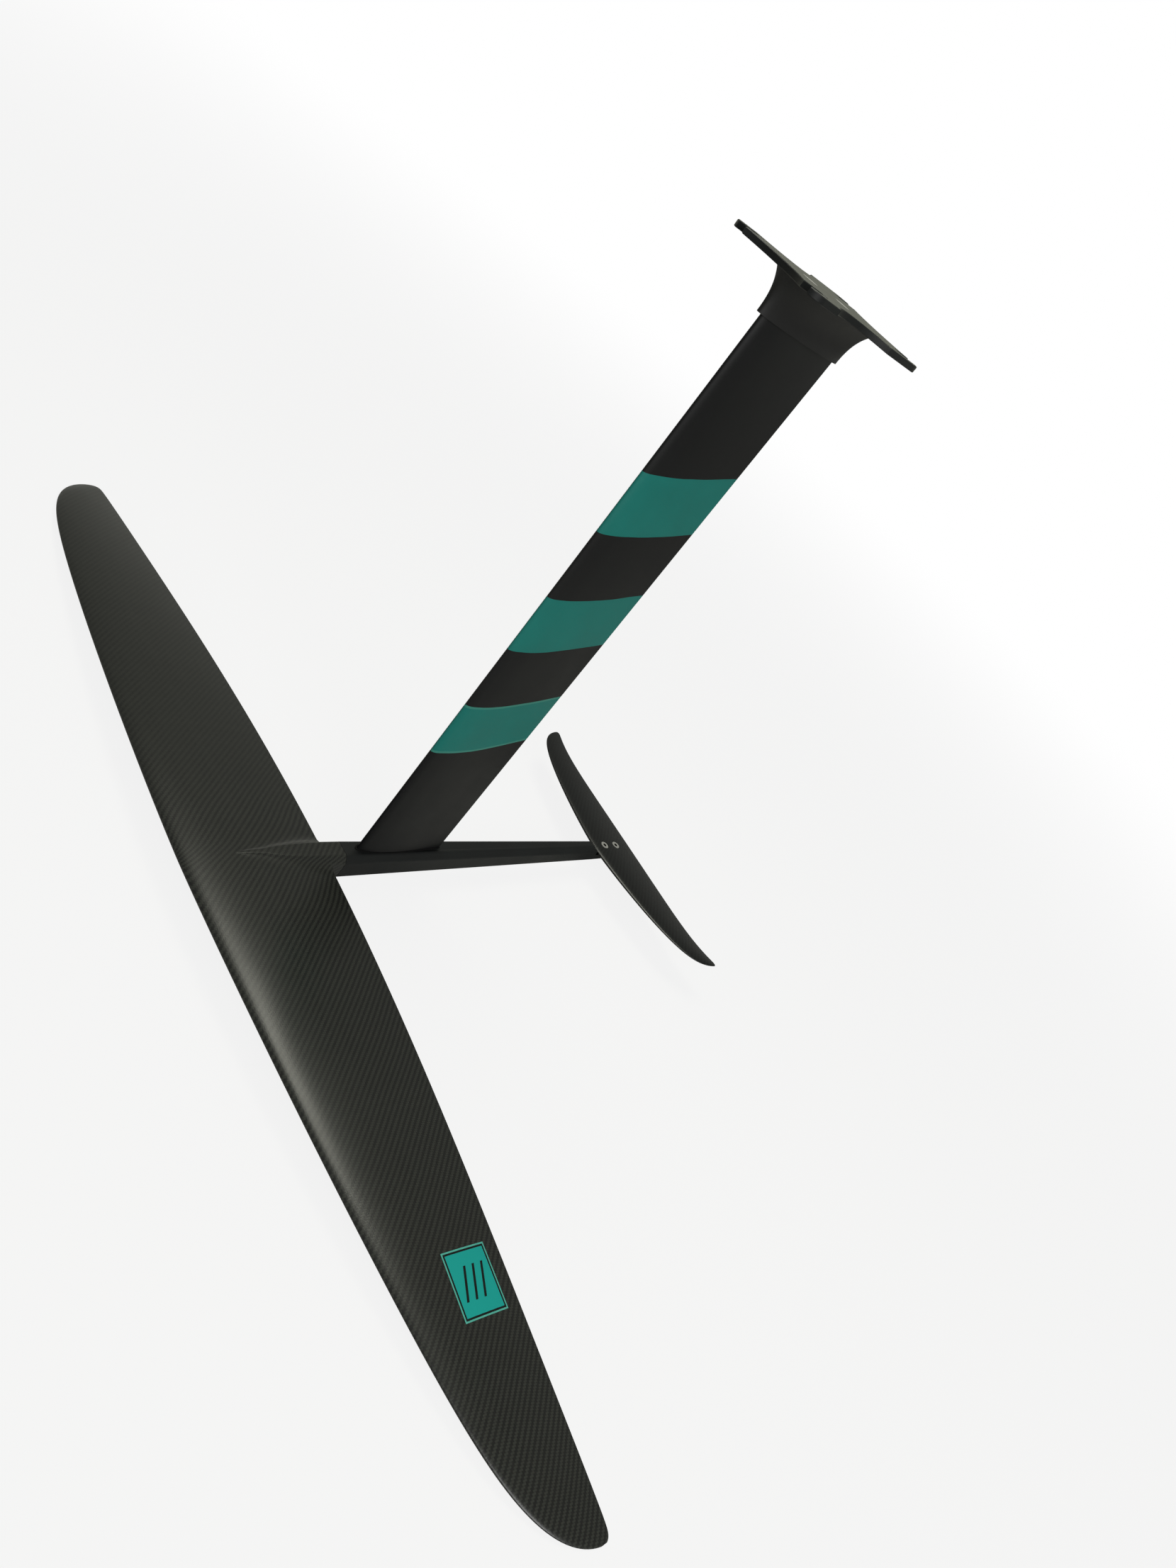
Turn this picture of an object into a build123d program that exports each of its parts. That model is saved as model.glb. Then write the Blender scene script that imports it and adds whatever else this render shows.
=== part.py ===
from build123d import *
import math
import os

# Hydrofoil: a mast with its board plate, a fuselage, a front wing and a stabiliser.
# Millimetres. Origin at the centre of the board plate's top face, +Z up towards the board,
# -Y forwards (the front wing leads), +X towards one wing tip. The foil hangs below the plate.

# ---- board plate -------------------------------------------------------------------------
PLATE_THICKNESS = 6.0
SLOT_SPACING_X = 90.0         # board bolt pattern, across
SLOT_SPACING_Y = 165.0        # board bolt pattern, fore and aft
SLOT_WIDTH = 9.0              # clears an M8 bolt
SLOT_RUN = 12.0               # from the bolt's nominal place to the centre of the slot's round end
LOBE_RADIUS = 14.5            # round ear about each bolt
PLATE_MID_LENGTH = 168.0      # length on the centre line, between the hollow ends
WAIST_WIDTH = 75.0            # narrowest width, between the hollow sides
WAIST_RADIUS = 60.0
WAIST_Y = -12.0
PLATE_EDGE_CHAMFER = 0.6
PLATE_SCREW_Y = (-38.0, 19.0)

# ---- flared collar between plate and mast ------------------------------------------------
COLLAR_HEIGHT = 37.0
COLLAR_LIP_LENGTH = 136.0
COLLAR_LIP_WIDTH = 25.0
COLLAR_TOP_LENGTH = 152.0
COLLAR_TOP_WIDTH = 62.0
COLLAR_Y = -0.8               # centre, ahead of the plate's
COLLAR_FLARE_POWER = 2.4      # how late the flare opens towards the plate
COLLAR_POCKET_DEPTH = 20.0

# ---- mast --------------------------------------------------------------------------------
MAST_DROP = 741.5             # board face down to the fuselage's top
MAST_CHORD = 123.8
MAST_NOSE_Y = -62.4
MAST_THICKNESS = 16.0
MAST_TAIL = 2.6               # thickness of the blunt trailing edge
MAST_WALL = 2.5
MAST_SOLID_TAIL = 16.0        # solid laminate ahead of the trailing edge
MAST_WEB_Y = (-22.0, 12.0)
MAST_WEB_THICKNESS = 2.0
GLUE_LINE = 0.15              # between a web's edge and the skin
CORE_FIT = 0.05               # between the foam and the skin
MAST_BLOCK_HEIGHT = 60.0      # solid block in each end of the mast
FOOT_TENON_LENGTH = 112.0
FOOT_TENON_THICKNESS = 14.0
FOOT_TENON_NOSE_Y = -59.5
FOOT_TENON_DEPTH = 14.0
FOOT_SCREW_Y = (-40.0, -4.0)
GASKET_THICKNESS = 1.0
GASKET_LIP = 0.8              # proud of the mast
GASKET_NOSE_LIP = 2.4

# ---- fuselage ----------------------------------------------------------------------------
SEAM_Y = -81.0                # where the wing's moulded socket ends
FUSELAGE_FRONT = (32.4, 31.2)     # width and height at the seam
FUSELAGE_REAR = (20.8, 23.6)      # width and height ahead of the stabiliser
TONGUE_LENGTH = 67.5          # under the stabiliser
FUSELAGE_REAR_DROP = 0.6      # the top line sinks this far from the seam to the rear
FUSELAGE_TAIL = (18.8, 8.0)   # width and height of the tongue's end under the stabiliser
FUSELAGE_TAIL_Y = 432.0
FUSELAGE_CHAMFER = (5.7, 7.5)     # across and down, along both upper edges
FUSELAGE_SHOULDER_RADIUS = 4.0    # softens the chamfers
FUSELAGE_BELLY_RADIUS = 2.0
FUSELAGE_WALL = 3.0
FUSELAGE_CORE_Y = 76.0        # front of the foam core
FUSELAGE_CORE_END = 12.0      # from the core's rear to the tongue
WING_TENON_LENGTH = 84.0
WING_TENON_WIDTH = 20.0
WING_TENON_HEIGHT = 16.0
TENON_CORNER = 4.0

# ---- front wing --------------------------------------------------------------------------
WING_HALF_SPAN = 701.5
WING_CHORD = 177.0
WING_CHORD_LOSS = 102.5
WING_CHORD_POWER = 1.72
WING_TAIL_Y = -98.0           # trailing edge on the centre line
WING_TAIL_SWEEP = (-39.6, 20.0)   # with the square and the fourth power of the span's share
WING_DEPTH = 13.0             # the centre chord below the fuselage's top
WING_DROOP = 42.5             # the tips below the centre chord
WING_DROOP_POWER = 1.9
WING_THICKNESS_RATIO = 0.105
WING_CAMBER_RATIO = 0.008
WING_TIP_POWER = 17.0         # how square the rounded tips are
WING_CORNER = (10.0, 200.0)   # how far the trailing edge turns in at the tips, and how late
WING_EDGE = 1.0               # thickness of the blunt trailing edge
WING_SKIN = 1.4
CORE_CHORD_SHARE = 0.86       # the rest of the chord is solid laminate
WING_CORE_SPAN = (36.0, 610.0)
WING_SCREW_Y = (-98.0, -124.0, -150.0)
TIP_AFT_SHARE = 0.05          # the tips close on a point this share of the chord from the tail
POD_STATIONS = (              # y, half width, top and bottom below the fuselage's top
    (SEAM_Y, FUSELAGE_FRONT[0] / 2, 0.0, FUSELAGE_FRONT[1]),
    (-118.0, 15.9, 0.0, FUSELAGE_FRONT[1]),
    (-146.0, 14.4, 0.0, 30.6),
    (-170.0, 11.7, 0.2, 28.6),
    (-196.0, 6.8, 0.9, 24.4),
    (-222.0, 2.2, 3.0, 19.8),
)
POD_FILLETS = (               # y and width of the hollow fillet between pod and wing
    (-98.5, 14.0),
    (-118.0, 16.0),
    (-146.0, 16.0),
    (-170.0, 14.0),
    (-196.0, 11.0),
    (-210.0, 8.0),
)
FILLET_SINK = 0.25            # below the wing's surface, so that it joins cleanly

# ---- stabiliser --------------------------------------------------------------------------
STAB_HALF_SPAN = 224.6
STAB_CHORD = 80.0
STAB_CHORD_LOSS = 47.1
STAB_CHORD_POWER = 1.5
STAB_OVERHANG = 13.9          # trailing edge behind the tongue's end
STAB_TAIL_SWEEP = (-19.0, 20.9)   # with the square and the sixth power of the span's share
STAB_DEPTH = 9.0              # the centre chord below the fuselage's top
STAB_RISE = 10.6              # the tips above the centre chord
STAB_THICKNESS_RATIO = 0.12
STAB_CAMBER_RATIO = 0.012
STAB_TIP_POWER = 22.0
STAB_CORNER = (6.0, 80.0)
STAB_EDGE = 0.9
STAB_SKIN = 1.1
STAB_CORE_SPAN = (24.0, 176.0)
STAB_SCREW_INSET = (46.0, 20.5)   # from the tongue's end forwards
STAB_SEAT_DEPTH = 13.6        # the seat on the tongue, below the fuselage's top
STAB_PAD_INSET = (56.0, 2.0)      # the moulded pad's ends, from the tongue's end forwards

# ---- fasteners and fits ------------------------------------------------------------------
M8_RADIUS = 4.0
M8_HEAD_RADIUS = 8.0
M8_SOCKET = 5.0               # hexagon across the flats
M6_RADIUS = 3.0
M6_HEAD_RADIUS = 6.0
M6_SOCKET = 5.0
HEAD_RIM = 0.6                # straight rim above the cone
HEAD_SINK = 0.35              # how far a head sits below the surface
SOCKET_DEPTH_SHARE = 0.6
BUSH_WALL = 1.2
BUSH_END_GAP = 1.2            # from a screw's end to the bottom of its bush's seat
CLEARANCE = 0.1               # around shanks, heads and tenons
OVERCUT = 2.0                 # how far cutting tools run past a face
FOIL_POINTS = 13              # on each surface of a foil section

FUSELAGE_TOP_Z = -MAST_DROP
FUSELAGE_REAR_Y = FUSELAGE_TAIL_Y - TONGUE_LENGTH
STAB_TAIL_Y = FUSELAGE_TAIL_Y + STAB_OVERHANG
STAB_SCREW_Y = [FUSELAGE_TAIL_Y - inset for inset in STAB_SCREW_INSET]
MAST_FOOT_Z = FUSELAGE_TOP_Z + GASKET_THICKNESS
COLLAR_LIP_Z = -PLATE_THICKNESS - COLLAR_HEIGHT
MAST_TOP_Z = COLLAR_LIP_Z + COLLAR_POCKET_DEPTH
BOLT_X = SLOT_SPACING_X / 2
BOLT_Y = SLOT_SPACING_Y / 2
STAB_SEAT_Z = FUSELAGE_TOP_Z - STAB_SEAT_DEPTH
REAR_BELLY_Z = FUSELAGE_TOP_Z - FUSELAGE_REAR_DROP - FUSELAGE_REAR[1]
TENON_FLOOR_Z = FUSELAGE_TOP_Z - (FUSELAGE_FRONT[1] + WING_TENON_HEIGHT) / 2
UPSIDE_DOWN = Rot(180, 0, 0)


# ---- foil sections -----------------------------------------------------------------------
def foil_half_thickness(share, thickness, edge):
    """Half thickness of a rounded-nose foil at a share of the chord, with a blunt tail."""
    body = 0.2969 * math.sqrt(share) - 0.1260 * share - 0.3516 * share**2
    body += 0.2843 * share**3 - 0.1036 * share**4
    return 5 * (thickness - 0.3 * edge) * body + edge / 2 * share


def foil_surface(chord, thickness, edge, camber, side):
    """Points from the nose to the tail along the upper (side 1) or lower (side -1) surface."""
    points = []
    for i in range(FOIL_POINTS):
        share = (1 - math.cos(math.pi * i / (FOIL_POINTS - 1))) / 2
        middle = 4 * camber * share * (1 - share)
        height = middle + side * foil_half_thickness(share, thickness, edge)
        points.append(Vector(share * chord, height))
    return points


def foil_face(chord, thickness, edge, camber=0.0):
    """A foil section: one smooth curve round the nose, parted there, and a blunt tail."""
    upper = foil_surface(chord, thickness, edge, camber, 1)
    lower = foil_surface(chord, thickness, edge, camber, -1)
    around = Spline(upper[::-1] + lower[1:])
    nose = around.param_at_point(upper[0])
    tail = Line(lower[-1], upper[-1])
    return make_face(Wire([around.trim(0, nose), around.trim(nose, 1), tail]))


def planform(share, chord, loss, power, trailing, tip_power, corner):
    """Leading and trailing edge at a share of the half span, with a rounded tip."""
    straight = chord - loss * share**power
    length = straight * math.sqrt(max(0.0, 1 - share**tip_power))
    trailing -= TIP_AFT_SHARE * (straight - length)
    turned_in = corner[0] * (1 - math.sqrt(max(0.0, 1 - share ** corner[1])))
    return trailing - length, trailing - turned_in


def wing_planform(x):
    share = abs(x) / WING_HALF_SPAN
    trailing = WING_TAIL_Y + WING_TAIL_SWEEP[0] * share**2 + WING_TAIL_SWEEP[1] * share**4
    return planform(share, WING_CHORD, WING_CHORD_LOSS, WING_CHORD_POWER, trailing,
                    WING_TIP_POWER, WING_CORNER)


def stab_planform(x):
    share = abs(x) / STAB_HALF_SPAN
    trailing = STAB_TAIL_Y + STAB_TAIL_SWEEP[0] * share**2 + STAB_TAIL_SWEEP[1] * share**6
    return planform(share, STAB_CHORD, STAB_CHORD_LOSS, STAB_CHORD_POWER, trailing,
                    STAB_TIP_POWER, STAB_CORNER)


def wing_height(x):
    share = abs(x) / WING_HALF_SPAN
    return FUSELAGE_TOP_Z - WING_DEPTH - WING_DROOP * share**WING_DROOP_POWER


def stab_height(x):
    return FUSELAGE_TOP_Z - STAB_DEPTH + STAB_RISE * (x / STAB_HALF_SPAN) ** 2


def wing_section(x, edges, height, ratio, camber_ratio, edge, skin=0.0):
    """One spanwise section on the plane at x. A skin draws the section of the core inside it."""
    leading, trailing = edges
    chord = trailing - leading
    thickness = chord * ratio
    camber = chord * camber_ratio
    if skin:
        leading += 1.5 * skin
        face = foil_face(CORE_CHORD_SHARE * chord, thickness - 2 * skin, edge / 2, camber)
    else:
        face = foil_face(chord, thickness, min(edge, thickness / 3), camber)
    return Plane(origin=(x, leading, height), x_dir=(0, 1, 0), z_dir=(1, 0, 0)) * face


def front_wing_section(x, skin=0.0):
    return wing_section(x, wing_planform(x), wing_height(x), WING_THICKNESS_RATIO,
                        WING_CAMBER_RATIO, WING_EDGE, skin)


def stab_section(x, skin=0.0):
    return wing_section(x, stab_planform(x), stab_height(x), STAB_THICKNESS_RATIO,
                        STAB_CAMBER_RATIO, STAB_EDGE, skin)


def surface_rise(aft, chord, ratio, camber_ratio, edge):
    """Upper surface above the chord line, at a distance aft of the nose."""
    share = aft / chord
    return foil_half_thickness(share, chord * ratio, edge) + 4 * chord * camber_ratio * share * (1 - share)


def wing_top_z(y):
    """Upper surface of the front wing on the centre line."""
    return wing_height(0) + surface_rise(y - WING_TAIL_Y + WING_CHORD, WING_CHORD,
                                         WING_THICKNESS_RATIO, WING_CAMBER_RATIO, WING_EDGE)


def stab_top_z(y):
    """Upper surface of the stabiliser on the centre line."""
    return stab_height(0) + surface_rise(y - STAB_TAIL_Y + STAB_CHORD, STAB_CHORD,
                                         STAB_THICKNESS_RATIO, STAB_CAMBER_RATIO, STAB_EDGE)


SPAN_SHARES = (0.12, 0.25, 0.38, 0.5, 0.62, 0.73, 0.82, 0.885, 0.93, 0.96, 0.98, 0.992, 0.998)


def full_span_loft(half_span, section):
    """A wing from tip to tip, its stations closer together where the tips round off."""
    right = [share * half_span for share in SPAN_SHARES]
    left = [-x for x in reversed(right)]
    return loft([section(x) for x in left + [0.0] + right])


def core_pair(span, count, section, skin):
    """The two foam cores, mirror images, between two distances from the centre line."""
    step = (span[1] - span[0]) / (count - 1)
    stations = [span[0] + step * k for k in range(count)]
    return [loft([section(side * x, skin) for x in stations]) for side in (-1, 1)]


# ---- fasteners ---------------------------------------------------------------------------
def countersunk_screw(radius, head_radius, across_flats, length):
    """A screw with its head's top at z = 0 and its shank down -Z, with a hexagon socket."""
    cone = head_radius - radius
    profile = [(0, 0), (head_radius, 0), (head_radius, -HEAD_RIM),
               (radius, -HEAD_RIM - cone), (radius, -length + radius / 4),
               (radius * 0.75, -length), (0, -length)]
    body = revolve(Plane.XZ * make_face(Polyline(*profile, close=True)), Axis.Z)
    depth = (HEAD_RIM + cone) * SOCKET_DEPTH_SHARE
    socket = RegularPolygon(across_flats / 2, 6, major_radius=False)
    return body - Pos(0, 0, -depth) * extrude(socket, depth + OVERCUT)


def countersink_cutter(radius, head_radius, depth):
    """The hole for that screw from z = 0 down: the cone fits, rim and shank have clearance."""
    wide, narrow = head_radius + CLEARANCE, radius + CLEARANCE
    cone_top = CLEARANCE - HEAD_SINK - HEAD_RIM
    profile = [(0, OVERCUT), (wide, OVERCUT), (wide, cone_top),
               (narrow, cone_top - wide + narrow), (narrow, -depth), (0, -depth)]
    return revolve(Plane.XZ * make_face(Polyline(*profile, close=True)), Axis.Z)


def bush(radius, length):
    """A threaded sleeve from z = 0 down, bored for the screw's shank."""
    ring = Circle(radius + BUSH_WALL) - Circle(radius + CLEARANCE / 2)
    return Pos(0, 0, -length) * extrude(ring, length)


def bush_seat(radius, length):
    return Pos(0, 0, -length) * extrude(Circle(radius + BUSH_WALL), length)


def along(shape, y_positions, z, turn=Rot(0, 0, 0)):
    """Copies of a shape on the centre line."""
    return [Pos(0, y, z) * turn * shape for y in y_positions]


def cut(body, tools):
    for tool in tools:
        body -= tool
    return body


# ---- board plate and collar --------------------------------------------------------------
def plate_outline():
    """Four round ears with open slots, hollow ends and a hollow waist."""
    reach = math.sqrt(LOBE_RADIUS**2 - (SLOT_WIDTH / 2) ** 2)
    corner_x = BOLT_X - SLOT_WIDTH / 2
    end_y = BOLT_Y + reach
    outline = Rectangle(2 * (BOLT_X + LOBE_RADIUS), 2 * BOLT_Y)
    outline += Rectangle(2 * (BOLT_X + SLOT_WIDTH / 2), 2 * end_y)
    outline += GridLocations(SLOT_SPACING_X, SLOT_SPACING_Y, 2, 2) * Circle(LOBE_RADIUS)
    hollow = end_y - PLATE_MID_LENGTH / 2
    end_radius = (corner_x**2 + hollow**2) / (2 * hollow)
    slot_end = BOLT_Y - SLOT_RUN
    slot_length = end_y - slot_end + OVERCUT
    for side in (-1, 1):
        outline -= Pos(0, side * (PLATE_MID_LENGTH / 2 + end_radius)) * Circle(end_radius)
        outline -= Pos(side * (WAIST_WIDTH / 2 + WAIST_RADIUS), WAIST_Y) * Circle(WAIST_RADIUS)
        for across in (-1, 1):
            x, y = across * BOLT_X, side * slot_end
            outline -= Pos(x, y) * Circle(SLOT_WIDTH / 2)
            outline -= Pos(x, y + side * slot_length / 2) * Rectangle(SLOT_WIDTH, slot_length)
    return outline


COLLAR_BUSH_LENGTH = COLLAR_HEIGHT - COLLAR_POCKET_DEPTH - 1


def base_plate():
    plate = Pos(0, 0, -PLATE_THICKNESS) * extrude(plate_outline(), PLATE_THICKNESS)
    rims = plate.edges().group_by(Axis.Z)
    plate = chamfer(rims[0] + rims[-1], PLATE_EDGE_CHAMFER)
    cutter = countersink_cutter(M8_RADIUS, M8_HEAD_RADIUS, PLATE_THICKNESS + OVERCUT)
    return cut(plate, along(cutter, PLATE_SCREW_Y, 0))


def base_plate_screws():
    length = PLATE_THICKNESS + COLLAR_BUSH_LENGTH - BUSH_END_GAP
    screw = countersunk_screw(M8_RADIUS, M8_HEAD_RADIUS, M8_SOCKET, length)
    return along(screw, PLATE_SCREW_Y, -HEAD_SINK)


def collar_section(rise):
    """The collar's oval at a share of its height above the lip."""
    flare = rise**COLLAR_FLARE_POWER
    width = COLLAR_LIP_WIDTH + (COLLAR_TOP_WIDTH - COLLAR_LIP_WIDTH) * flare
    length = COLLAR_LIP_LENGTH + (COLLAR_TOP_LENGTH - COLLAR_LIP_LENGTH) * flare
    return Pos(0, COLLAR_Y, COLLAR_LIP_Z + rise * COLLAR_HEIGHT) * Ellipse(width / 2, length / 2)


def mast_collar():
    collar = loft([collar_section(rise) for rise in (0, 0.2, 0.4, 0.6, 0.75, 0.88, 1.0)])
    collar -= mast_prism(MAST_CHORD, MAST_THICKNESS, MAST_TAIL, COLLAR_LIP_Z - OVERCUT, MAST_TOP_Z)
    seat = bush_seat(M8_RADIUS, COLLAR_BUSH_LENGTH)
    return cut(collar, along(seat, PLATE_SCREW_Y, -PLATE_THICKNESS))


def mast_collar_inserts():
    return along(bush(M8_RADIUS, COLLAR_BUSH_LENGTH), PLATE_SCREW_Y, -PLATE_THICKNESS)


# ---- mast --------------------------------------------------------------------------------
def mast_prism(chord, thickness, tail, bottom, top, nose=MAST_NOSE_Y):
    """A straight foil-shaped column between two heights, its nose at y = nose."""
    plane = Plane(origin=(0, nose, bottom), x_dir=(0, 1, 0), z_dir=(0, 0, -1))
    return extrude(plane * foil_face(chord, thickness, tail), bottom - top)


INSIDE_NOSE_Y = MAST_NOSE_Y + 1.2 * MAST_WALL
INSIDE_CHORD = MAST_NOSE_Y + MAST_CHORD - MAST_SOLID_TAIL - INSIDE_NOSE_Y
INSIDE_THICKNESS = MAST_THICKNESS - 2 * MAST_WALL
CORE_BOTTOM_Z = MAST_FOOT_Z + MAST_BLOCK_HEIGHT
CORE_TOP_Z = MAST_TOP_Z - MAST_BLOCK_HEIGHT


def mast_inside(bottom, top):
    """The hollow inside the mast's skin."""
    return mast_prism(INSIDE_CHORD, INSIDE_THICKNESS, MAST_TAIL / 2, bottom, top, INSIDE_NOSE_Y)


def mast_skin():
    outer = mast_prism(MAST_CHORD, MAST_THICKNESS, MAST_TAIL, MAST_FOOT_Z, MAST_TOP_Z)
    return outer - mast_inside(MAST_FOOT_Z, MAST_TOP_Z)


def mast_web_slabs():
    slab = Box(MAST_THICKNESS, MAST_WEB_THICKNESS, CORE_TOP_Z - CORE_BOTTOM_Z)
    return along(slab, MAST_WEB_Y, (CORE_BOTTOM_Z + CORE_TOP_Z) / 2)


def mast_webs():
    """Shear webs from skin to skin, a glue line short of both."""
    webs = []
    for y in MAST_WEB_Y:
        rear_share = (y + MAST_WEB_THICKNESS / 2 - INSIDE_NOSE_Y) / INSIDE_CHORD
        half = foil_half_thickness(rear_share, INSIDE_THICKNESS, MAST_TAIL / 2) - GLUE_LINE
        web = Box(2 * half, MAST_WEB_THICKNESS, CORE_TOP_Z - CORE_BOTTOM_Z)
        webs += along(web, [y], (CORE_BOTTOM_Z + CORE_TOP_Z) / 2)
    return webs


def mast_core():
    foam = mast_prism(INSIDE_CHORD - 2 * CORE_FIT, INSIDE_THICKNESS - 2 * CORE_FIT, MAST_TAIL / 2,
                      CORE_BOTTOM_Z, CORE_TOP_Z, INSIDE_NOSE_Y + CORE_FIT)
    return cut(foam, mast_web_slabs())


def mast_head_block():
    return mast_inside(CORE_TOP_Z, MAST_TOP_Z)


def foot_tenon(clearance):
    return mast_prism(FOOT_TENON_LENGTH + 2 * clearance, FOOT_TENON_THICKNESS + 2 * clearance,
                      MAST_TAIL / 2, FUSELAGE_TOP_Z - FOOT_TENON_DEPTH - clearance, MAST_FOOT_Z,
                      FOOT_TENON_NOSE_Y - clearance)


FOOT_BUSH_LENGTH = FOOT_TENON_DEPTH - 1
FOOT_TENON_FLOOR_Z = FUSELAGE_TOP_Z - FOOT_TENON_DEPTH


def mast_foot_block():
    block = mast_inside(MAST_FOOT_Z, CORE_BOTTOM_Z) + foot_tenon(0)
    seat = bush_seat(M8_RADIUS, FOOT_BUSH_LENGTH)
    return cut(block, along(seat, FOOT_SCREW_Y, FOOT_TENON_FLOOR_Z, UPSIDE_DOWN))


def mast_foot_inserts():
    return along(bush(M8_RADIUS, FOOT_BUSH_LENGTH), FOOT_SCREW_Y, FOOT_TENON_FLOOR_Z, UPSIDE_DOWN)


def mast_foot_screws():
    screws = []
    for y in FOOT_SCREW_Y:
        belly = fuselage_belly_z(y)
        length = FOOT_TENON_FLOOR_Z + FOOT_BUSH_LENGTH - BUSH_END_GAP - belly
        screw = countersunk_screw(M8_RADIUS, M8_HEAD_RADIUS, M8_SOCKET, length)
        screws += along(screw, [y], belly + HEAD_SINK, UPSIDE_DOWN)
    return screws


def mast_foot_gasket():
    ring = mast_prism(MAST_CHORD + GASKET_NOSE_LIP + GASKET_LIP, MAST_THICKNESS + 2 * GASKET_LIP,
                      MAST_TAIL + 2 * GASKET_LIP, FUSELAGE_TOP_Z, MAST_FOOT_Z,
                      MAST_NOSE_Y - GASKET_NOSE_LIP)
    return ring - foot_tenon(CLEARANCE)


# ---- fuselage ----------------------------------------------------------------------------
def shoulder(half_width):
    """Width and height of the chamfer along both upper edges."""
    across = min(FUSELAGE_CHAMFER[0], 0.6 * half_width)
    return across, FUSELAGE_CHAMFER[1] * across / FUSELAGE_CHAMFER[0]


def beam_section(y, half_width, top, bottom):
    """The fuselage's section at y: chamfered shoulders, upright sides and a flat belly."""
    across, down = shoulder(half_width)
    right = [(half_width - across, top), (half_width, top - down), (half_width, bottom)]
    left = [(-x, z) for x, z in reversed(right)]
    outline = make_face(Polyline(*right, *left, close=True))
    corners = outline.vertices().sort_by(Axis.Y)
    softness = across / FUSELAGE_CHAMFER[0]
    outline = fillet(corners[2:], FUSELAGE_SHOULDER_RADIUS * softness)
    outline = fillet(outline.vertices().sort_by(Axis.Y)[:2], FUSELAGE_BELLY_RADIUS * softness)
    return Plane(origin=(0, y, 0), x_dir=(1, 0, 0), z_dir=(0, -1, 0)) * outline


def fuselage_size(y):
    """Half width, top and bottom of the fuselage at y."""
    share = (y - SEAM_Y) / (FUSELAGE_REAR_Y - SEAM_Y)
    width = FUSELAGE_FRONT[0] + share * (FUSELAGE_REAR[0] - FUSELAGE_FRONT[0])
    height = FUSELAGE_FRONT[1] + share * (FUSELAGE_REAR[1] - FUSELAGE_FRONT[1])
    top = FUSELAGE_TOP_Z - share * FUSELAGE_REAR_DROP
    return width / 2, top, top - height


def fuselage_belly_z(y):
    return fuselage_size(y)[2]


def rounded_section(y, width, top, bottom, radius):
    plane = Plane(origin=(0, y, (top + bottom) / 2), x_dir=(1, 0, 0), z_dir=(0, -1, 0))
    return plane * RectangleRounded(width, top - bottom, radius)


def fuselage_core():
    sections = []
    for y in (FUSELAGE_CORE_Y, FUSELAGE_REAR_Y - FUSELAGE_CORE_END):
        half_width, top, bottom = fuselage_size(y)
        sections.append(rounded_section(y, 2 * (half_width - FUSELAGE_WALL), top - FUSELAGE_CHAMFER[1],
                                        bottom + FUSELAGE_WALL, FUSELAGE_BELLY_RADIUS))
    return loft(sections, ruled=True)


def wing_tenon(clearance):
    """The spigot that the front wing slides on to."""
    middle = FUSELAGE_TOP_Z - FUSELAGE_FRONT[1] / 2
    plane = Plane(origin=(0, SEAM_Y, middle), x_dir=(1, 0, 0), z_dir=(0, -1, 0))
    shape = RectangleRounded(WING_TENON_WIDTH + 2 * clearance, WING_TENON_HEIGHT + 2 * clearance,
                             TENON_CORNER)
    return extrude(plane * shape, WING_TENON_LENGTH + clearance)


WING_BUSH_LENGTH = WING_TENON_HEIGHT - 3
STAB_BUSH_LENGTH = 5.0


def fuselage_shell():
    ends = (SEAM_Y, FUSELAGE_REAR_Y)
    body = loft([beam_section(y, *fuselage_size(y)) for y in ends], ruled=True)
    tongue_root = rounded_section(FUSELAGE_REAR_Y, FUSELAGE_REAR[0], STAB_SEAT_Z, REAR_BELLY_Z,
                                  FUSELAGE_BELLY_RADIUS)
    tongue_end = rounded_section(FUSELAGE_TAIL_Y, FUSELAGE_TAIL[0], STAB_SEAT_Z,
                                 STAB_SEAT_Z - FUSELAGE_TAIL[1], FUSELAGE_BELLY_RADIUS)
    body += loft([tongue_root, tongue_end], ruled=True)
    body += wing_tenon(0)
    body -= foot_tenon(CLEARANCE)
    body -= fuselage_core()
    body = cut(body, along(bush_seat(M6_RADIUS, WING_BUSH_LENGTH), WING_SCREW_Y, TENON_FLOOR_Z, UPSIDE_DOWN))
    body = cut(body, along(bush_seat(M6_RADIUS, STAB_BUSH_LENGTH), STAB_SCREW_Y, STAB_SEAT_Z))
    for y in FOOT_SCREW_Y:
        belly = fuselage_belly_z(y)
        hole = countersink_cutter(M8_RADIUS, M8_HEAD_RADIUS, FOOT_TENON_FLOOR_Z - belly)
        body = cut(body, along(hole, [y], belly, UPSIDE_DOWN))
    return body


# ---- front wing --------------------------------------------------------------------------
def wing_pod():
    """The moulded spine that carries the fuselage's section forwards into the wing."""
    sections = []
    for y, half_width, top, bottom in POD_STATIONS:
        sections.append(beam_section(y, half_width, FUSELAGE_TOP_Z - top, FUSELAGE_TOP_Z - bottom))
    return loft(sections)


def pod_side(half_width, top, z):
    """The pod's half width at height z."""
    across, down = shoulder(half_width)
    return half_width - across * max(0.0, z - top + down) / down


def pod_at(y):
    """The pod's half width and top at y, between the two nearest stations."""
    for (rear_y, rear_width, rear_top, _), (y_ahead, width, top, _) in zip(POD_STATIONS, POD_STATIONS[1:]):
        if y_ahead <= y <= rear_y:
            share = (y - rear_y) / (y_ahead - rear_y)
            half_width = rear_width + share * (width - rear_width)
            return half_width, FUSELAGE_TOP_Z - rear_top - share * (top - rear_top)


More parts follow.
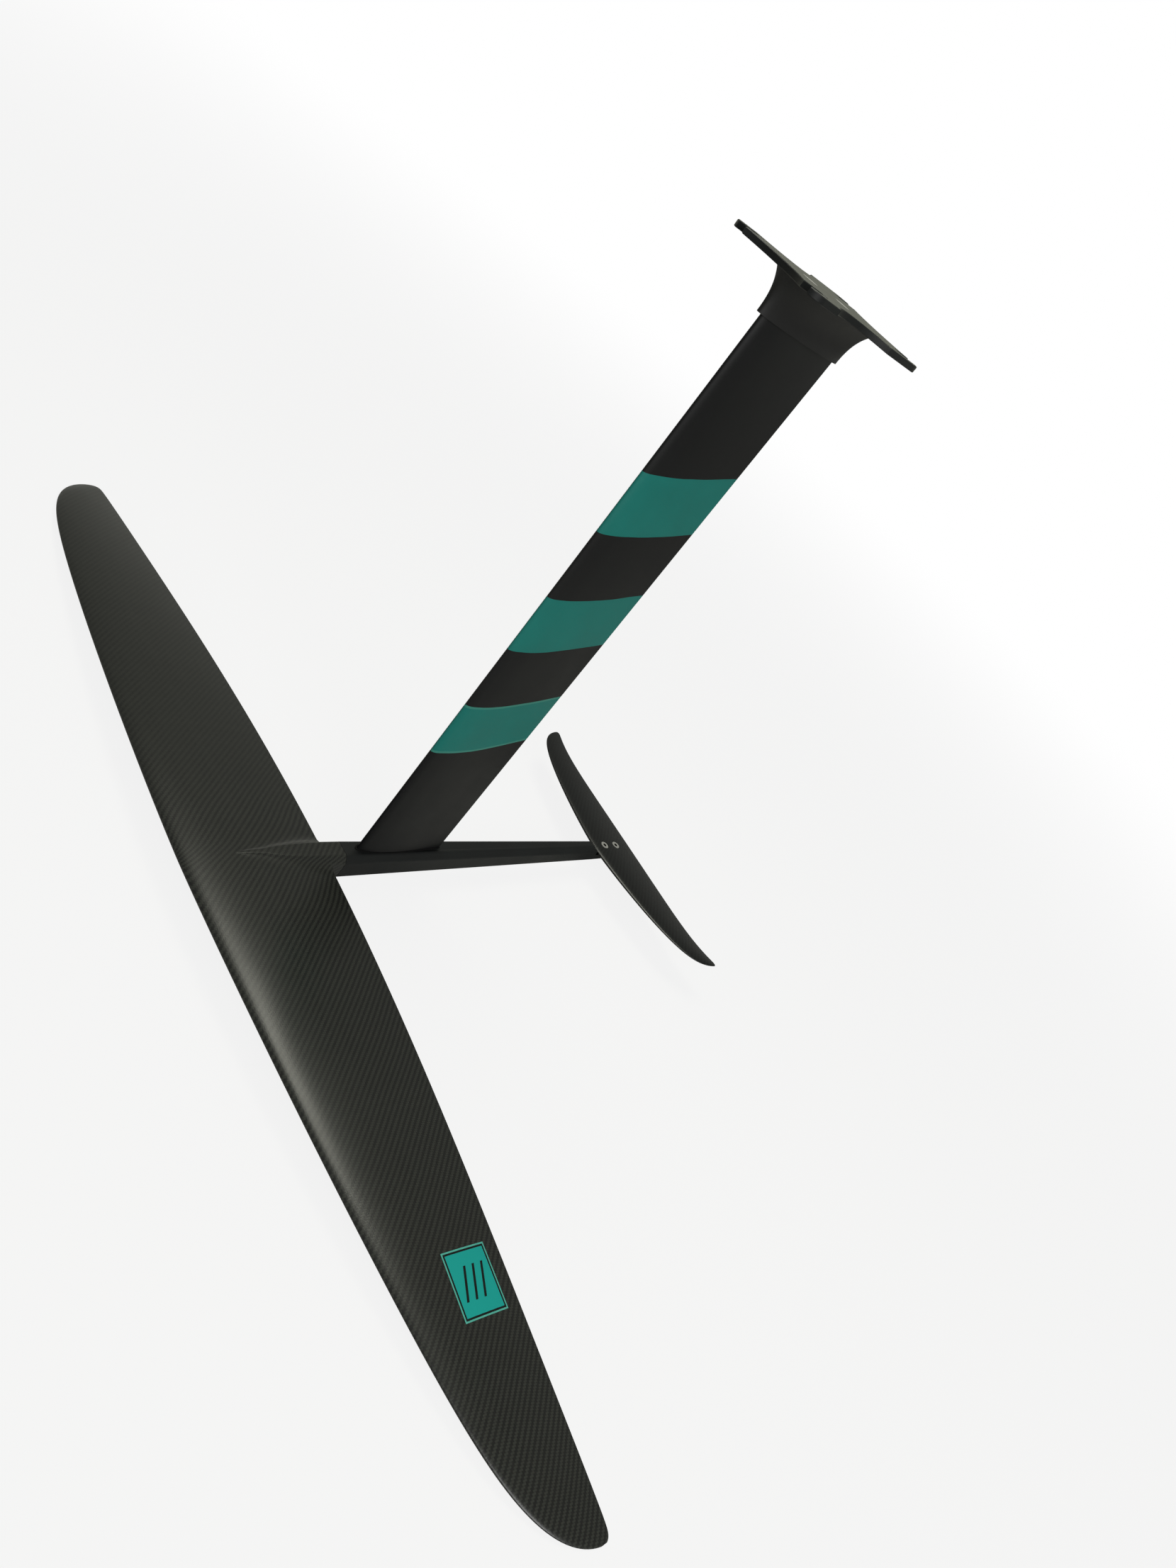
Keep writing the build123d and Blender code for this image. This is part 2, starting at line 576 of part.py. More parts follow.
def fillet_section(y, reach):
    """A low ridge across the wing at y, its sides hollow from the wing up to the pod."""
    half_width, top = pod_at(y)
    base = wing_top_z(y) - FILLET_SINK
    rise = min(reach, 0.62 * (top - base))
    foot = pod_side(half_width, top, base)
    crest = pod_side(half_width, top, base + rise) - FILLET_SINK
    toe, floor = foot + reach, base - 2 * FILLET_SINK
    outline = Wire([Bezier((toe, base), (foot, base), (crest, base + rise)),
                    Line((crest, base + rise), (-crest, base + rise)),
                    Bezier((-crest, base + rise), (-foot, base), (-toe, base)),
                    Line((-toe, base), (-toe, floor)), Line((-toe, floor), (toe, floor)),
                    Line((toe, floor), (toe, base))])
    return Plane(origin=(0, y, 0), x_dir=(1, 0, 0), z_dir=(0, -1, 0)) * make_face(outline)


def front_wing_core():
    return core_pair(WING_CORE_SPAN, 8, front_wing_section, WING_SKIN)


def front_wing_skin():
    wing = full_span_loft(WING_HALF_SPAN, front_wing_section)
    wing += loft([fillet_section(y, reach) for y, reach in POD_FILLETS])
    wing += wing_pod()
    wing -= wing_tenon(CLEARANCE)
    wing = cut(wing, front_wing_core())
    belly = FUSELAGE_TOP_Z - FUSELAGE_FRONT[1]
    hole = countersink_cutter(M6_RADIUS, M6_HEAD_RADIUS, TENON_FLOOR_Z - belly)
    return cut(wing, along(hole, WING_SCREW_Y, belly, UPSIDE_DOWN))


def front_wing_screws():
    belly = FUSELAGE_TOP_Z - FUSELAGE_FRONT[1]
    length = TENON_FLOOR_Z + WING_BUSH_LENGTH - BUSH_END_GAP - belly
    screw = countersunk_screw(M6_RADIUS, M6_HEAD_RADIUS, M6_SOCKET, length)
    return along(screw, WING_SCREW_Y, belly + HEAD_SINK, UPSIDE_DOWN)


def front_wing_inserts():
    return along(bush(M6_RADIUS, WING_BUSH_LENGTH), WING_SCREW_Y, TENON_FLOOR_Z, UPSIDE_DOWN)


# ---- stabiliser --------------------------------------------------------------------------
def stabiliser_core():
    return core_pair(STAB_CORE_SPAN, 5, stab_section, STAB_SKIN)


def stabiliser_skin():
    stab = full_span_loft(STAB_HALF_SPAN, stab_section)
    pad_front, pad_rear = (FUSELAGE_TAIL_Y - inset for inset in STAB_PAD_INSET)
    pad_height = stab_height(0) - STAB_SEAT_Z
    pad = Box(FUSELAGE_TAIL[0], pad_rear - pad_front, pad_height)
    stab += Pos(0, (pad_front + pad_rear) / 2, STAB_SEAT_Z + pad_height / 2) * pad
    stab = cut(stab, stabiliser_core())
    for y in STAB_SCREW_Y:
        top = stab_top_z(y)
        hole = countersink_cutter(M6_RADIUS, M6_HEAD_RADIUS, top - STAB_SEAT_Z + OVERCUT)
        stab = cut(stab, along(hole, [y], top))
    return stab


def stabiliser_screws():
    screws = []
    for y in STAB_SCREW_Y:
        top = stab_top_z(y)
        length = top - STAB_SEAT_Z + STAB_BUSH_LENGTH - BUSH_END_GAP
        screw = countersunk_screw(M6_RADIUS, M6_HEAD_RADIUS, M6_SOCKET, length)
        screws += along(screw, [y], top - HEAD_SINK)
    return screws


def stabiliser_inserts():
    return along(bush(M6_RADIUS, STAB_BUSH_LENGTH), STAB_SCREW_Y, STAB_SEAT_Z)


# ---- write the parts ---------------------------------------------------------------------
def write(name, shape):
    solids = Compound(children=list(shape)) if isinstance(shape, (list, ShapeList)) else shape
    export_step(solids, f"parts/{name}.step")
    print(name, len(solids.solids()), round(solids.volume / 1000, 2), "cm3", solids.is_valid)


def main():
    os.makedirs("parts", exist_ok=True)
    write("base_plate", base_plate())
    write("base_plate_screws", base_plate_screws())
    write("mast_collar", mast_collar())
    write("mast_collar_inserts", mast_collar_inserts())
    write("mast_skin", mast_skin())
    write("mast_core", mast_core())
    write("mast_webs", mast_webs())
    write("mast_head_block", mast_head_block())
    write("mast_foot_block", mast_foot_block())
    write("mast_foot_inserts", mast_foot_inserts())
    write("mast_foot_screws", mast_foot_screws())
    write("mast_foot_gasket", mast_foot_gasket())
    write("fuselage_shell", fuselage_shell())
    write("fuselage_core", fuselage_core())
    write("front_wing_skin", front_wing_skin())
    write("front_wing_core", front_wing_core())
    write("front_wing_screws", front_wing_screws())
    write("front_wing_inserts", front_wing_inserts())
    write("stabiliser_skin", stabiliser_skin())
    write("stabiliser_core", stabiliser_core())
    write("stabiliser_screws", stabiliser_screws())
    write("stabiliser_inserts", stabiliser_inserts())


main()
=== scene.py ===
# %% [markdown]
# # A hydrofoil in Blender
# The CAD model of this foil is loaded as a fixed frame: every part is already in its place, in
# metres. What is left to do is what the eye sees: the finish of each part, the few details that
# are too fine for the CAD, the light, the floor and the camera.

# %% Load the frame
import math

import bmesh
import bpy
from mathutils import Matrix, Vector


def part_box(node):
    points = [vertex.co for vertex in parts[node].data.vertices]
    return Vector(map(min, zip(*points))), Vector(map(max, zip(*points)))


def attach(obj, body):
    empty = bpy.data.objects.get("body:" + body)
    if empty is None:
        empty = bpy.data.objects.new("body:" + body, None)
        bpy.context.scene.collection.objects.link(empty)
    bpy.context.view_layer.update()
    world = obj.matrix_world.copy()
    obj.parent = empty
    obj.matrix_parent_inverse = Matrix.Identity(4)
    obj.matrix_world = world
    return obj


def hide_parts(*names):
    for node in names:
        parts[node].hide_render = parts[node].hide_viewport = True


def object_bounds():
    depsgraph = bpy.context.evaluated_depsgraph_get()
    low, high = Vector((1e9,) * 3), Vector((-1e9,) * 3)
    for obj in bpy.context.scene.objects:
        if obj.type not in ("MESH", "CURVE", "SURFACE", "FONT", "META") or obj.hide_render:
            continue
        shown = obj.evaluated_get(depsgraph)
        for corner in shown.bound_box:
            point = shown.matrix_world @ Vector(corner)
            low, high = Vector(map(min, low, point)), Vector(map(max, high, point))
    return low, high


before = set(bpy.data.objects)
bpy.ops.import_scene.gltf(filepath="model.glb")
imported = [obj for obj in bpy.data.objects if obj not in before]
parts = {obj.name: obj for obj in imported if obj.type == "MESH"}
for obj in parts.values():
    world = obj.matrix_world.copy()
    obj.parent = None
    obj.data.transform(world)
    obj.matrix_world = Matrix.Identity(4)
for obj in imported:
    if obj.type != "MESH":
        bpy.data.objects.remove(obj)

cad_low, cad_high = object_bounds()
print("parts", len(parts))
print("box", [round(v, 3) for v in cad_low], [round(v, 3) for v in cad_high])

# %% [markdown]
# ## Lens and viewpoint
# The camera looks down on the front wing from ahead and to one side, close and with a wide lens,
# so the near wing tip looms and the far one recedes. It is rolled until the mast leans to the
# right. A wide lens close by was chosen over a long lens far off because it gives that depth.

# %% Camera
CAMERA_PLACE = (0.6368, -0.8623, 0.0425)
CAMERA_TURN = (55.267, -35.608, 52.113)      # degrees about X, Y and Z
SENSOR_HEIGHT, FOCAL_LENGTH = 36.0, 25.63    # mm

camera_data = bpy.data.cameras.new("camera")
camera_data.sensor_fit = "VERTICAL"
camera_data.sensor_height = SENSOR_HEIGHT
camera_data.lens = FOCAL_LENGTH
camera_data.clip_end = 60.0
camera = bpy.data.objects.new("camera", camera_data)
bpy.context.scene.collection.objects.link(camera)
camera.location = CAMERA_PLACE
camera.rotation_euler = [math.radians(angle) for angle in CAMERA_TURN]
bpy.context.scene.camera = camera
print("camera", [round(v, 3) for v in camera.location], "lens", camera_data.lens)

# %% [markdown]
# ## Studio
# The foil stands on its two wing tips, tilted by nothing but its own shape, on a wide pale floor.
# A real studio would use a white sweep. Here the floor is one large disc whose colour reaches the
# white of the surroundings at its rim, so that no horizon shows, and only the soft shadow
# near the foil tells that there is a floor.

# %% Colours
def linear(hex_colour):
    """An sRGB hex colour as the linear colour that a node takes."""
    shares = [int(hex_colour[i:i + 2], 16) / 255 for i in (1, 3, 5)]
    return [s / 12.92 if s <= 0.04045 else ((s + 0.055) / 1.055) ** 2.4 for s in shares] + [1.0]


print("mid grey", [round(c, 3) for c in linear("#808080")])


# %% One helper for nodes
def add(tree, kind, inputs=None, **settings):
    """Adds a node with its settings; an input is a constant or another node's output."""
    node = tree.nodes.new("ShaderNode" + kind)
    for name, value in settings.items():
        setattr(node, name, value)
    for socket, value in (inputs or {}).items():
        if isinstance(value, bpy.types.NodeSocket):
            tree.links.new(value, node.inputs[socket])
        else:
            node.inputs[socket].default_value = value
    return node


def new_material(name):
    """A material and its empty node tree."""
    material = bpy.data.materials.new(name)
    material.use_nodes = True
    material.node_tree.nodes.clear()
    return material, material.node_tree


print("materials so far", len(bpy.data.materials))


# %% Floor
FLOOR_RADIUS = 12.0
FLOOR_GAP = 0.0005                        # between the floor and the foil's lowest point
WHITE_FROM, WHITE_BY = 1.0, 5.0           # distances over which the floor turns plain white
floor_mesh = bmesh.new()
bmesh.ops.create_circle(floor_mesh, cap_ends=True, segments=96, radius=FLOOR_RADIUS)
bmesh.ops.translate(floor_mesh, verts=floor_mesh.verts, vec=(0, 0, cad_low.z - FLOOR_GAP))
floor = bpy.data.objects.new("floor", bpy.data.meshes.new("floor"))
floor_mesh.to_mesh(floor.data)
floor_mesh.free()
bpy.context.scene.collection.objects.link(floor)

# White painted board: the camera sees mostly plain white, with a share of lit paint that carries
# the shadow. Towards the rim the paint's share falls to nothing.
floor_paint, tree = new_material("studio_floor_paint")
place = add(tree, "TexCoord").outputs["Object"]
distance = add(tree, "VectorMath", {0: place}, operation="LENGTH").outputs["Value"]
rim = add(tree, "MapRange", {"Value": distance, "From Min": WHITE_FROM, "From Max": WHITE_BY},
          interpolation_type="SMOOTHSTEP").outputs["Result"]
paint = add(tree, "BsdfDiffuse", {"Color": linear("#C4C4C2")}).outputs["BSDF"]
white = add(tree, "Emission", {"Color": (1, 1, 1, 1), "Strength": 1.0}).outputs["Emission"]
seen = add(tree, "LightPath").outputs["Is Camera Ray"]
share = add(tree, "MapRange", {"Value": rim, "To Min": 0.86, "To Max": 1.0}).outputs["Result"]
share = add(tree, "Math", {0: share, 1: seen}, operation="MULTIPLY").outputs["Value"]
surface = add(tree, "MixShader", {0: share, 1: paint, 2: white}).outputs["Shader"]
# From below the floor is not there, so the underside can be looked at.
below = add(tree, "NewGeometry").outputs["Backfacing"]
clear = add(tree, "BsdfTransparent").outputs["BSDF"]
surface = add(tree, "MixShader", {0: below, 1: surface, 2: clear}).outputs["Shader"]
add(tree, "OutputMaterial", {"Surface": surface})
floor.data.materials.append(floor_paint)
print("floor at", round(cad_low.z, 4))

# %% Surroundings
# The room is dim, apart from a bright patch low down beyond the left tip, as if the white sweep
# shone in there. Black lacquer has almost no colour of its own, so this difference is what draws
# its shape.
ROOM_BRIGHT_SIDE = (-0.80, 0.40, -0.40)
ROOM_DIM, ROOM_BRIGHT = 0.14, 0.90
BACKDROP_SHARE = 0.06                     # how much of the white backdrop gloss and glass see

scene = bpy.context.scene
scene.view_settings.view_transform = "Standard"
world = bpy.data.worlds.new("studio")
scene.world = world
world.use_nodes = True
tree = world.node_tree
tree.nodes.clear()
direction = add(tree, "TexCoord").outputs["Generated"]
towards = add(tree, "VectorMath", {0: direction, 1: ROOM_BRIGHT_SIDE},
              operation="DOT_PRODUCT").outputs["Value"]
level = add(tree, "MapRange", {"Value": towards, "From Min": 0.72, "From Max": 0.94,
                               "To Min": ROOM_DIM, "To Max": ROOM_BRIGHT},
            interpolation_type="SMOOTHSTEP").outputs["Result"]
# Behind the foil the sweep also shines just over the floor's edge, which lights the plate's top
# at a low angle.
axes = add(tree, "SeparateXYZ", {0: direction}).outputs
sweep = add(tree, "MapRange", {"Value": axes["Y"], "From Min": 0.3, "From Max": 0.95,
                               "To Min": 0.05, "To Max": 0.6}).outputs["Result"]
glow = add(tree, "MapRange", {"Value": axes["Z"], "From Min": 0.0, "From Max": 0.12,
                              "To Min": sweep, "To Max": 0.0},
           interpolation_type="SMOOTHSTEP").outputs["Result"]
level = add(tree, "Math", {0: level, 1: glow}, operation="ADD").outputs[0]
room = add(tree, "Background", {"Color": linear("#F6F7EC"), "Strength": level}).outputs[0]
backdrop = add(tree, "Background", {"Color": (1, 1, 1, 1), "Strength": 1.0}).outputs[0]
ray = add(tree, "LightPath").outputs
mirrored = add(tree, "Math", {0: ray["Is Glossy Ray"], 1: ray["Is Transmission Ray"]},
               operation="MAXIMUM").outputs[0]
share = add(tree, "Math", {0: mirrored, 1: BACKDROP_SHARE, 2: ray["Is Camera Ray"]},
            operation="MULTIPLY_ADD").outputs[0]
surroundings = add(tree, "MixShader", {0: share, 1: room, 2: backdrop}).outputs["Shader"]
add(tree, "OutputWorld", {"Surface": surroundings})
print("room", ROOM_DIM, "to", ROOM_BRIGHT)


# %% Lamps
def softbox(name, place, target, size, watts, colour):
    """A rectangular area lamp that faces its target."""
    lamp = bpy.data.lights.new(name, "AREA")
    lamp.shape = "RECTANGLE"
    lamp.size, lamp.size_y = size
    lamp.energy = watts
    lamp.color = linear(colour)[:3]
    box = bpy.data.objects.new(name, lamp)
    box.location = place
    box.rotation_euler = (Vector(target) - Vector(place)).to_track_quat("-Z", "Y").to_euler()
    scene.collection.objects.link(box)
    return box


# The overhead box draws the bright streak along the wing's nose; its far edge ends the streak.
softbox("overhead_softbox", (-0.35, 0.0, 1.45), (0.1, -0.25, -0.75), (0.8, 1.1), 19, "#FFFFF0")
# The fill stands well off to the right and lights the mast's side and the near half of the wing.
softbox("front_fill", (3.0, -1.4, 1.2), (0, 0, -0.5), (2.0, 2.0), 58, "#FFFFFF")

# %% [markdown]
# ## Twill carbon cloth under satin lacquer
# Both wings are carbon laminate. Their outer ply is a 2 x 2 twill: each bundle of fibres runs over
# two and under two, one step over from its neighbour, so the floats line up in diagonal ribs.
# It could be a print of cloth laid on an unwrapped mesh. Here it is worked out from the place on
# the wing, in millimetres, so it has the same scale everywhere and needs no unwrapping.

# %% Weave pattern
TOW = 0.00193         # width of one bundle of fibres: 2 mm, as in a common 200 g cloth
WANDER = 0.004        # how far the bundles stray from straight lines
FUSELAGE_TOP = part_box("mast_foot_gasket")[0].z      # the spine's top is level with it


def weave(tree):
    """A 2 x 2 twill: the place in the cloth, which bundle is on top, its crown and its tone."""
    place = add(tree, "TexCoord").outputs["Object"]
    drift = add(tree, "TexNoise", {"Vector": place, "Scale": 9.0, "Detail": 1.0}).outputs["Color"]
    drift = add(tree, "VectorMath", {0: drift, 1: (0.5, 0.5, 0.5)},
                operation="SUBTRACT").outputs["Vector"]
    drift = add(tree, "VectorMath", {0: drift, "Scale": WANDER}, operation="SCALE").outputs["Vector"]
    place = add(tree, "VectorMath", {0: place, 1: drift}, operation="ADD").outputs["Vector"]
    axes = add(tree, "SeparateXYZ", {0: place}).outputs
    # Near the middle the cloth drapes down both sides of the spine: height counts as width there.
    side = add(tree, "Math", {0: axes["X"]}, operation="ABSOLUTE").outputs[0]
    drape = add(tree, "MapRange", {"Value": axes["X"], "From Min": -0.012, "From Max": 0.012,
                                   "To Min": -1.0, "To Max": 1.0}).outputs["Result"]
    fade = add(tree, "MapRange", {"Value": side, "From Min": 0.018, "From Max": 0.08,
                                  "To Min": 1.0, "To Max": 0.0},
               interpolation_type="SMOOTHSTEP").outputs["Result"]
    drape = add(tree, "Math", {0: drape, 1: fade}, operation="MULTIPLY").outputs[0]
    drop = add(tree, "Math", {0: FUSELAGE_TOP, 1: axes["Z"]}, operation="SUBTRACT").outputs[0]
    width = add(tree, "Math", {0: drop, 1: drape, 2: axes["X"]}, operation="MULTIPLY_ADD").outputs[0]
    u = add(tree, "Math", {0: width, 1: TOW}, operation="DIVIDE").outputs[0]
    v = add(tree, "Math", {0: axes["Y"], 1: TOW}, operation="DIVIDE").outputs[0]
    column = add(tree, "Math", {0: u}, operation="FLOOR").outputs[0]
    row = add(tree, "Math", {0: v}, operation="FLOOR").outputs[0]
    step = add(tree, "Math", {0: column, 1: row}, operation="ADD").outputs[0]
    step = add(tree, "Math", {0: step, 1: 4.0}, operation="FLOORED_MODULO").outputs[0]
    on_top = add(tree, "Math", {0: step, 1: 1.5}, operation="LESS_THAN").outputs[0]
    crowns = []
    for value in (u, v):
        inside = add(tree, "Math", {0: value}, operation="FRACT").outputs[0]
        inside = add(tree, "Math", {0: inside, 1: math.pi}, operation="MULTIPLY").outputs[0]
        crowns.append(add(tree, "Math", {0: inside}, operation="SINE").outputs[0])
    crown = add(tree, "Mix", {"Factor": on_top, "A": crowns[1], "B": crowns[0]}).outputs["Result"]
    strand = add(tree, "Mix", {"Factor": on_top, "A": row, "B": column}).outputs["Result"]
    tone = add(tree, "TexWhiteNoise", {"W": strand}, noise_dimensions="1D").outputs["Value"]
    return place, on_top, crown, tone


print("rib spacing", round(TOW * 4 / math.sqrt(2) * 1000, 2), "mm")

# %% Laminates of the two wings
# Moulded in a polished tool and sanded satin: near black, with a soft wide gloss, and the ribs
# of the cloth showing as paler dashes where the bundles turn towards the light. The stabiliser's
# resin is darker and its ribs fainter.
MEAN_RIB = 0.34       # the average of a rib's paleness
CALM_RIB = 0.4        # the share of their contrast that the left half's ribs keep

laminates = {}
for name, valley, ridge, strength in (("twill_carbon_satin_lacquer", "#191A18", "#363833", 0.35),
                                      ("twill_carbon_dark_resin", "#0B0C0C", "#191C1B", 0.15)):
    laminates[name], tree = new_material(name)
    place, on_top, crown, tone = weave(tree)
    rib = add(tree, "MapRange", {"Value": crown, "To Min": 0.45, "To Max": 0.9}).outputs["Result"]
    rib = add(tree, "Math", {0: on_top, 1: rib}, operation="MULTIPLY").outputs[0]
    # On the left half the ribs keep less of their contrast and relief, around the same mean.
    across = add(tree, "SeparateXYZ", {0: place}).outputs["X"]
    contrast = add(tree, "MapRange", {"Value": across, "From Min": -0.2, "From Max": 0.0,
                                      "To Min": CALM_RIB},
                   interpolation_type="SMOOTHSTEP").outputs["Result"]
    rib = add(tree, "Mix", {"Factor": contrast, "A": MEAN_RIB, "B": rib}).outputs["Result"]
    crown = add(tree, "Math", {0: crown, 1: contrast}, operation="MULTIPLY").outputs[0]
    rib = add(tree, "Math", {0: tone, 1: 0.15, 2: rib}, operation="MULTIPLY_ADD").outputs[0]
    cloth = add(tree, "MixRGB", {"Fac": rib, "Color1": linear(valley),
                                 "Color2": linear(ridge)}).outputs["Color"]
    cloud = add(tree, "TexNoise", {"Vector": place, "Scale": 14.0, "Detail": 4.0}).outputs["Fac"]
    gloss = add(tree, "MapRange", {"Value": cloud, "From Min": 0.3, "From Max": 0.7,
                                   "To Min": 0.32, "To Max": 0.38}).outputs["Result"]
    grain = add(tree, "TexNoise", {"Vector": place, "Scale": 900.0, "Detail": 2.0}).outputs["Fac"]
    height = add(tree, "Math", {0: crown, 1: 0.7, 2: grain}, operation="MULTIPLY_ADD").outputs[0]
    relief = add(tree, "Bump", {"Height": height, "Strength": strength,
                                "Distance": 0.00008}).outputs["Normal"]
    skin = add(tree, "BsdfPrincipled", {
        "Base Color": cloth, "Roughness": gloss, "Normal": relief, "IOR": 1.5,
        "Coat Weight": 0.15, "Coat Roughness": 0.25})
    add(tree, "OutputMaterial", {"Surface": skin.outputs["BSDF"]})
wing_laminate, stabiliser_laminate = laminates.values()
print("laminates", list(laminates))


# %% [markdown]
# ## Front wing
# The front wing is one moulding: a long blade and, in its middle, a spine that carries the
# fuselage's section forwards, with a hollow fillet where the two meet. The CAD mesh of it is right
# in size, but its long thin triangles break up the highlight that runs along the nose. So the same
# sections are drawn again here as one even grid wrapped from tip to tip, and blade, fillet and
# spine are joined by a Boolean. A subdivision surface would need fewer faces, but would round off
# the thin trailing edge.

# %% Foil section
MM = 0.001


def half_thickness(share, thickness, edge):
    """Half the thickness of a round-nosed foil at a share of its chord."""
    body = 0.2969 * math.sqrt(share) - 0.1260 * share - 0.3516 * share**2
    body += 0.2843 * share**3 - 0.1036 * share**4
    return 5 * (thickness - 0.3 * edge) * body + edge / 2 * share


def foil_point(chord, ratio, camber, edge, around):
    """A point of the section, for around from 0 (upper tail) over the nose to 1 (lower tail)."""
    share = (1 + math.cos(2 * math.pi * around)) / 2
    side = 1 if around < 0.5 else -1
    thickness = chord * ratio
    rise = side * half_thickness(share, thickness, min(edge, thickness / 3))
    return share * chord, rise + 4 * chord * camber * share * (1 - share)


print("thickest", round(2 * half_thickness(0.3, 18.6, 1.0), 2), "mm for 18.6 asked")


# %% Plan shape of the front wing
HALF_SPAN = 701.5
WING_RATIO, WING_CAMBER, WING_EDGE = 0.105, 0.008, 1.0     # thickness and camber are per chord
TIP_AFT_SHARE = 0.05                                       # the tips close just ahead of the tail


def edges(straight, trailing, share, tip, corner, late):
    """Leading edge and chord, rounded at the tip and, very late, at its trailing corner."""
    chord = straight * math.sqrt(1 - share**tip)
    trailing -= TIP_AFT_SHARE * (straight - chord)
    turned_in = corner * (1 - math.sqrt(1 - share**late))
    return trailing - chord, chord - turned_in


def front_wing_chord(x):
    """Leading edge, chord length and chord height below the fuselage's top, in mm."""
    share = abs(x) / HALF_SPAN
    trailing = -98 - 39.6 * share**2 + 20 * share**4
    leading, chord = edges(177 - 102.5 * share**1.72, trailing, share, 17, 10, 200)
    return leading, chord, 13 + 42.5 * share**1.9


for x in (0, 690):
    print("chord at", x, [round(v, 1) for v in front_wing_chord(x)])


# %% A blade from a grid
def wrapped_grid(columns, ring, point):
    """A grid whose every row is wrapped round a section; point(column, share) places a vertex."""
    shell = bmesh.new()
    bmesh.ops.create_grid(shell, x_segments=columns, y_segments=ring, size=1.0)
    for vertex in shell.verts:
        column = round((vertex.co.x + 1) / 2 * columns)
        step = round((vertex.co.y + 1) / 2 * ring) % ring
        vertex.co = Vector(point(column, step / (ring - 1))) * MM
    bmesh.ops.remove_doubles(shell, verts=shell.verts, dist=0.000001)
    ends = [edge for edge in shell.edges if edge.is_boundary]
    bmesh.ops.holes_fill(shell, edges=ends, sides=0)
    bmesh.ops.recalc_face_normals(shell, faces=shell.faces)
    return shell


def finished_object(name, shell):
    """An object at the origin that holds the bmesh, which is used up."""
    mesh = bpy.data.meshes.new(name)
    shell.to_mesh(mesh)
    shell.free()
    piece = bpy.data.objects.new(name, mesh)
    scene.collection.objects.link(piece)
    return piece


COLUMNS, RING = 2 * 72, 97
LAST_COLUMN = 0.9985      # the last section's share of the half span; the tip is closed there


def blade_point(column, around):
    """Columns lie closer together towards the tips, where the outline curves most."""
    x = LAST_COLUMN * HALF_SPAN * math.sin(math.pi / 2 * (2 * column / COLUMNS - 1))
    leading, chord, depth = front_wing_chord(x)
    aft, rise = foil_point(chord, WING_RATIO, WING_CAMBER, WING_EDGE, around)
    return x, leading + aft, FUSELAGE_TOP / MM - depth + rise


front_wing = finished_object("front_wing_shell", wrapped_grid(COLUMNS, RING, blade_point))
print("blade faces", len(front_wing.data.polygons))

# %% Spine
# Place along the foil, half width, and top and bottom below the fuselage's top.
SPINE = ((-81, 16.2, 0.0, 31.2), (-118, 15.9, 0.0, 31.2), (-146, 14.4, 0.0, 30.6),
         (-170, 11.7, 0.2, 28.6), (-196, 6.8, 0.9, 24.4), (-222, 2.2, 3.0, 19.8))
SPINE_COLUMNS, CORNER_STEPS = 40, 5
SEAM = 0.4                        # the dark gap between the spine and the fuselage
SHOULDER = (5.7, 7.5)             # the chamfer, across and down
CORNER_CUTS = (2.2, 1.6, 2.0)     # how far each corner is eased, from the top down


def eased(stations, y):
    """Values at y on a smooth curve through the stations."""
    at = max(i for i in range(len(stations) - 1) if y <= stations[i][0])
    around = [stations[max(0, min(len(stations) - 1, at + k))] for k in (-1, 0, 1, 2)]
    t = (y - around[1][0]) / (around[2][0] - around[1][0])
    span = around[2][0] - around[1][0]
    values = []
    for k in range(1, len(stations[0])):
        before = (around[2][k] - around[0][k]) / (around[2][0] - around[0][0]) * span
        after = (around[3][k] - around[1][k]) / (around[3][0] - around[1][0]) * span
        values.append((2 * t**3 - 3 * t**2 + 1) * around[1][k] + (t**3 - 2 * t**2 + t) * before
                      + (3 * t**2 - 2 * t**3) * around[2][k] + (t**3 - t**2) * after)
    return values


def chamfer(half_width):
    """The shoulder's size, which shrinks with the narrow end of the spine."""
    across = min(SHOULDER[0], 0.6 * half_width)
    return across, across * SHOULDER[1] / SHOULDER[0]


def spine_point(column, around):
    """The beam's section: chamfered shoulders, upright sides, flat belly, corners eased."""
    y = SPINE[0][0] - SEAM + (SPINE[-1][0] - SPINE[0][0] + SEAM) * column / SPINE_COLUMNS
    half_width, top, bottom = eased(SPINE, y)
    across, down = chamfer(half_width)
    soft = across / SHOULDER[0]
    right = [(half_width - across, top, CORNER_CUTS[0]), (half_width, top + down, CORNER_CUTS[1]),
             (half_width, bottom, CORNER_CUTS[2])]
    corners = right + [(-x, depth, cut) for x, depth, cut in reversed(right)]
    spot = round(around * (6 * CORNER_STEPS - 1))
    at, step = divmod(spot, CORNER_STEPS)
    before, here, after = (Vector(corners[(at + k) % 6][:2]) for k in (-1, 0, 1))
    cut = corners[at][2] * soft
    start = here + (before - here).normalized() * cut
    end = here + (after - here).normalized() * cut
    t = step / (CORNER_STEPS - 1)
    spot = start * (1 - t) ** 2 + here * 2 * t * (1 - t) + end * t**2
    return spot.x, y, FUSELAGE_TOP / MM - spot.y


spine = finished_object("spine", wrapped_grid(SPINE_COLUMNS, 6 * CORNER_STEPS, spine_point))
print("spine faces", len(spine.data.polygons))

# %% Fillet between spine and blade
# Place along the foil, and how far the fillet reaches out from the spine.
FILLETS = ((-98.5, 14.0), (-118.0, 16.0), (-146.0, 16.0), (-170.0, 14.0), (-196.0, 11.0), (-210.0, 8.0))
FILLET_RISE = 0.7             # the most of the spine's side that it climbs
FILLET_SINK = 0.15            # its toe starts just under the blade's surface
FILLET_COLUMNS, CURVE_STEPS = 36, 9


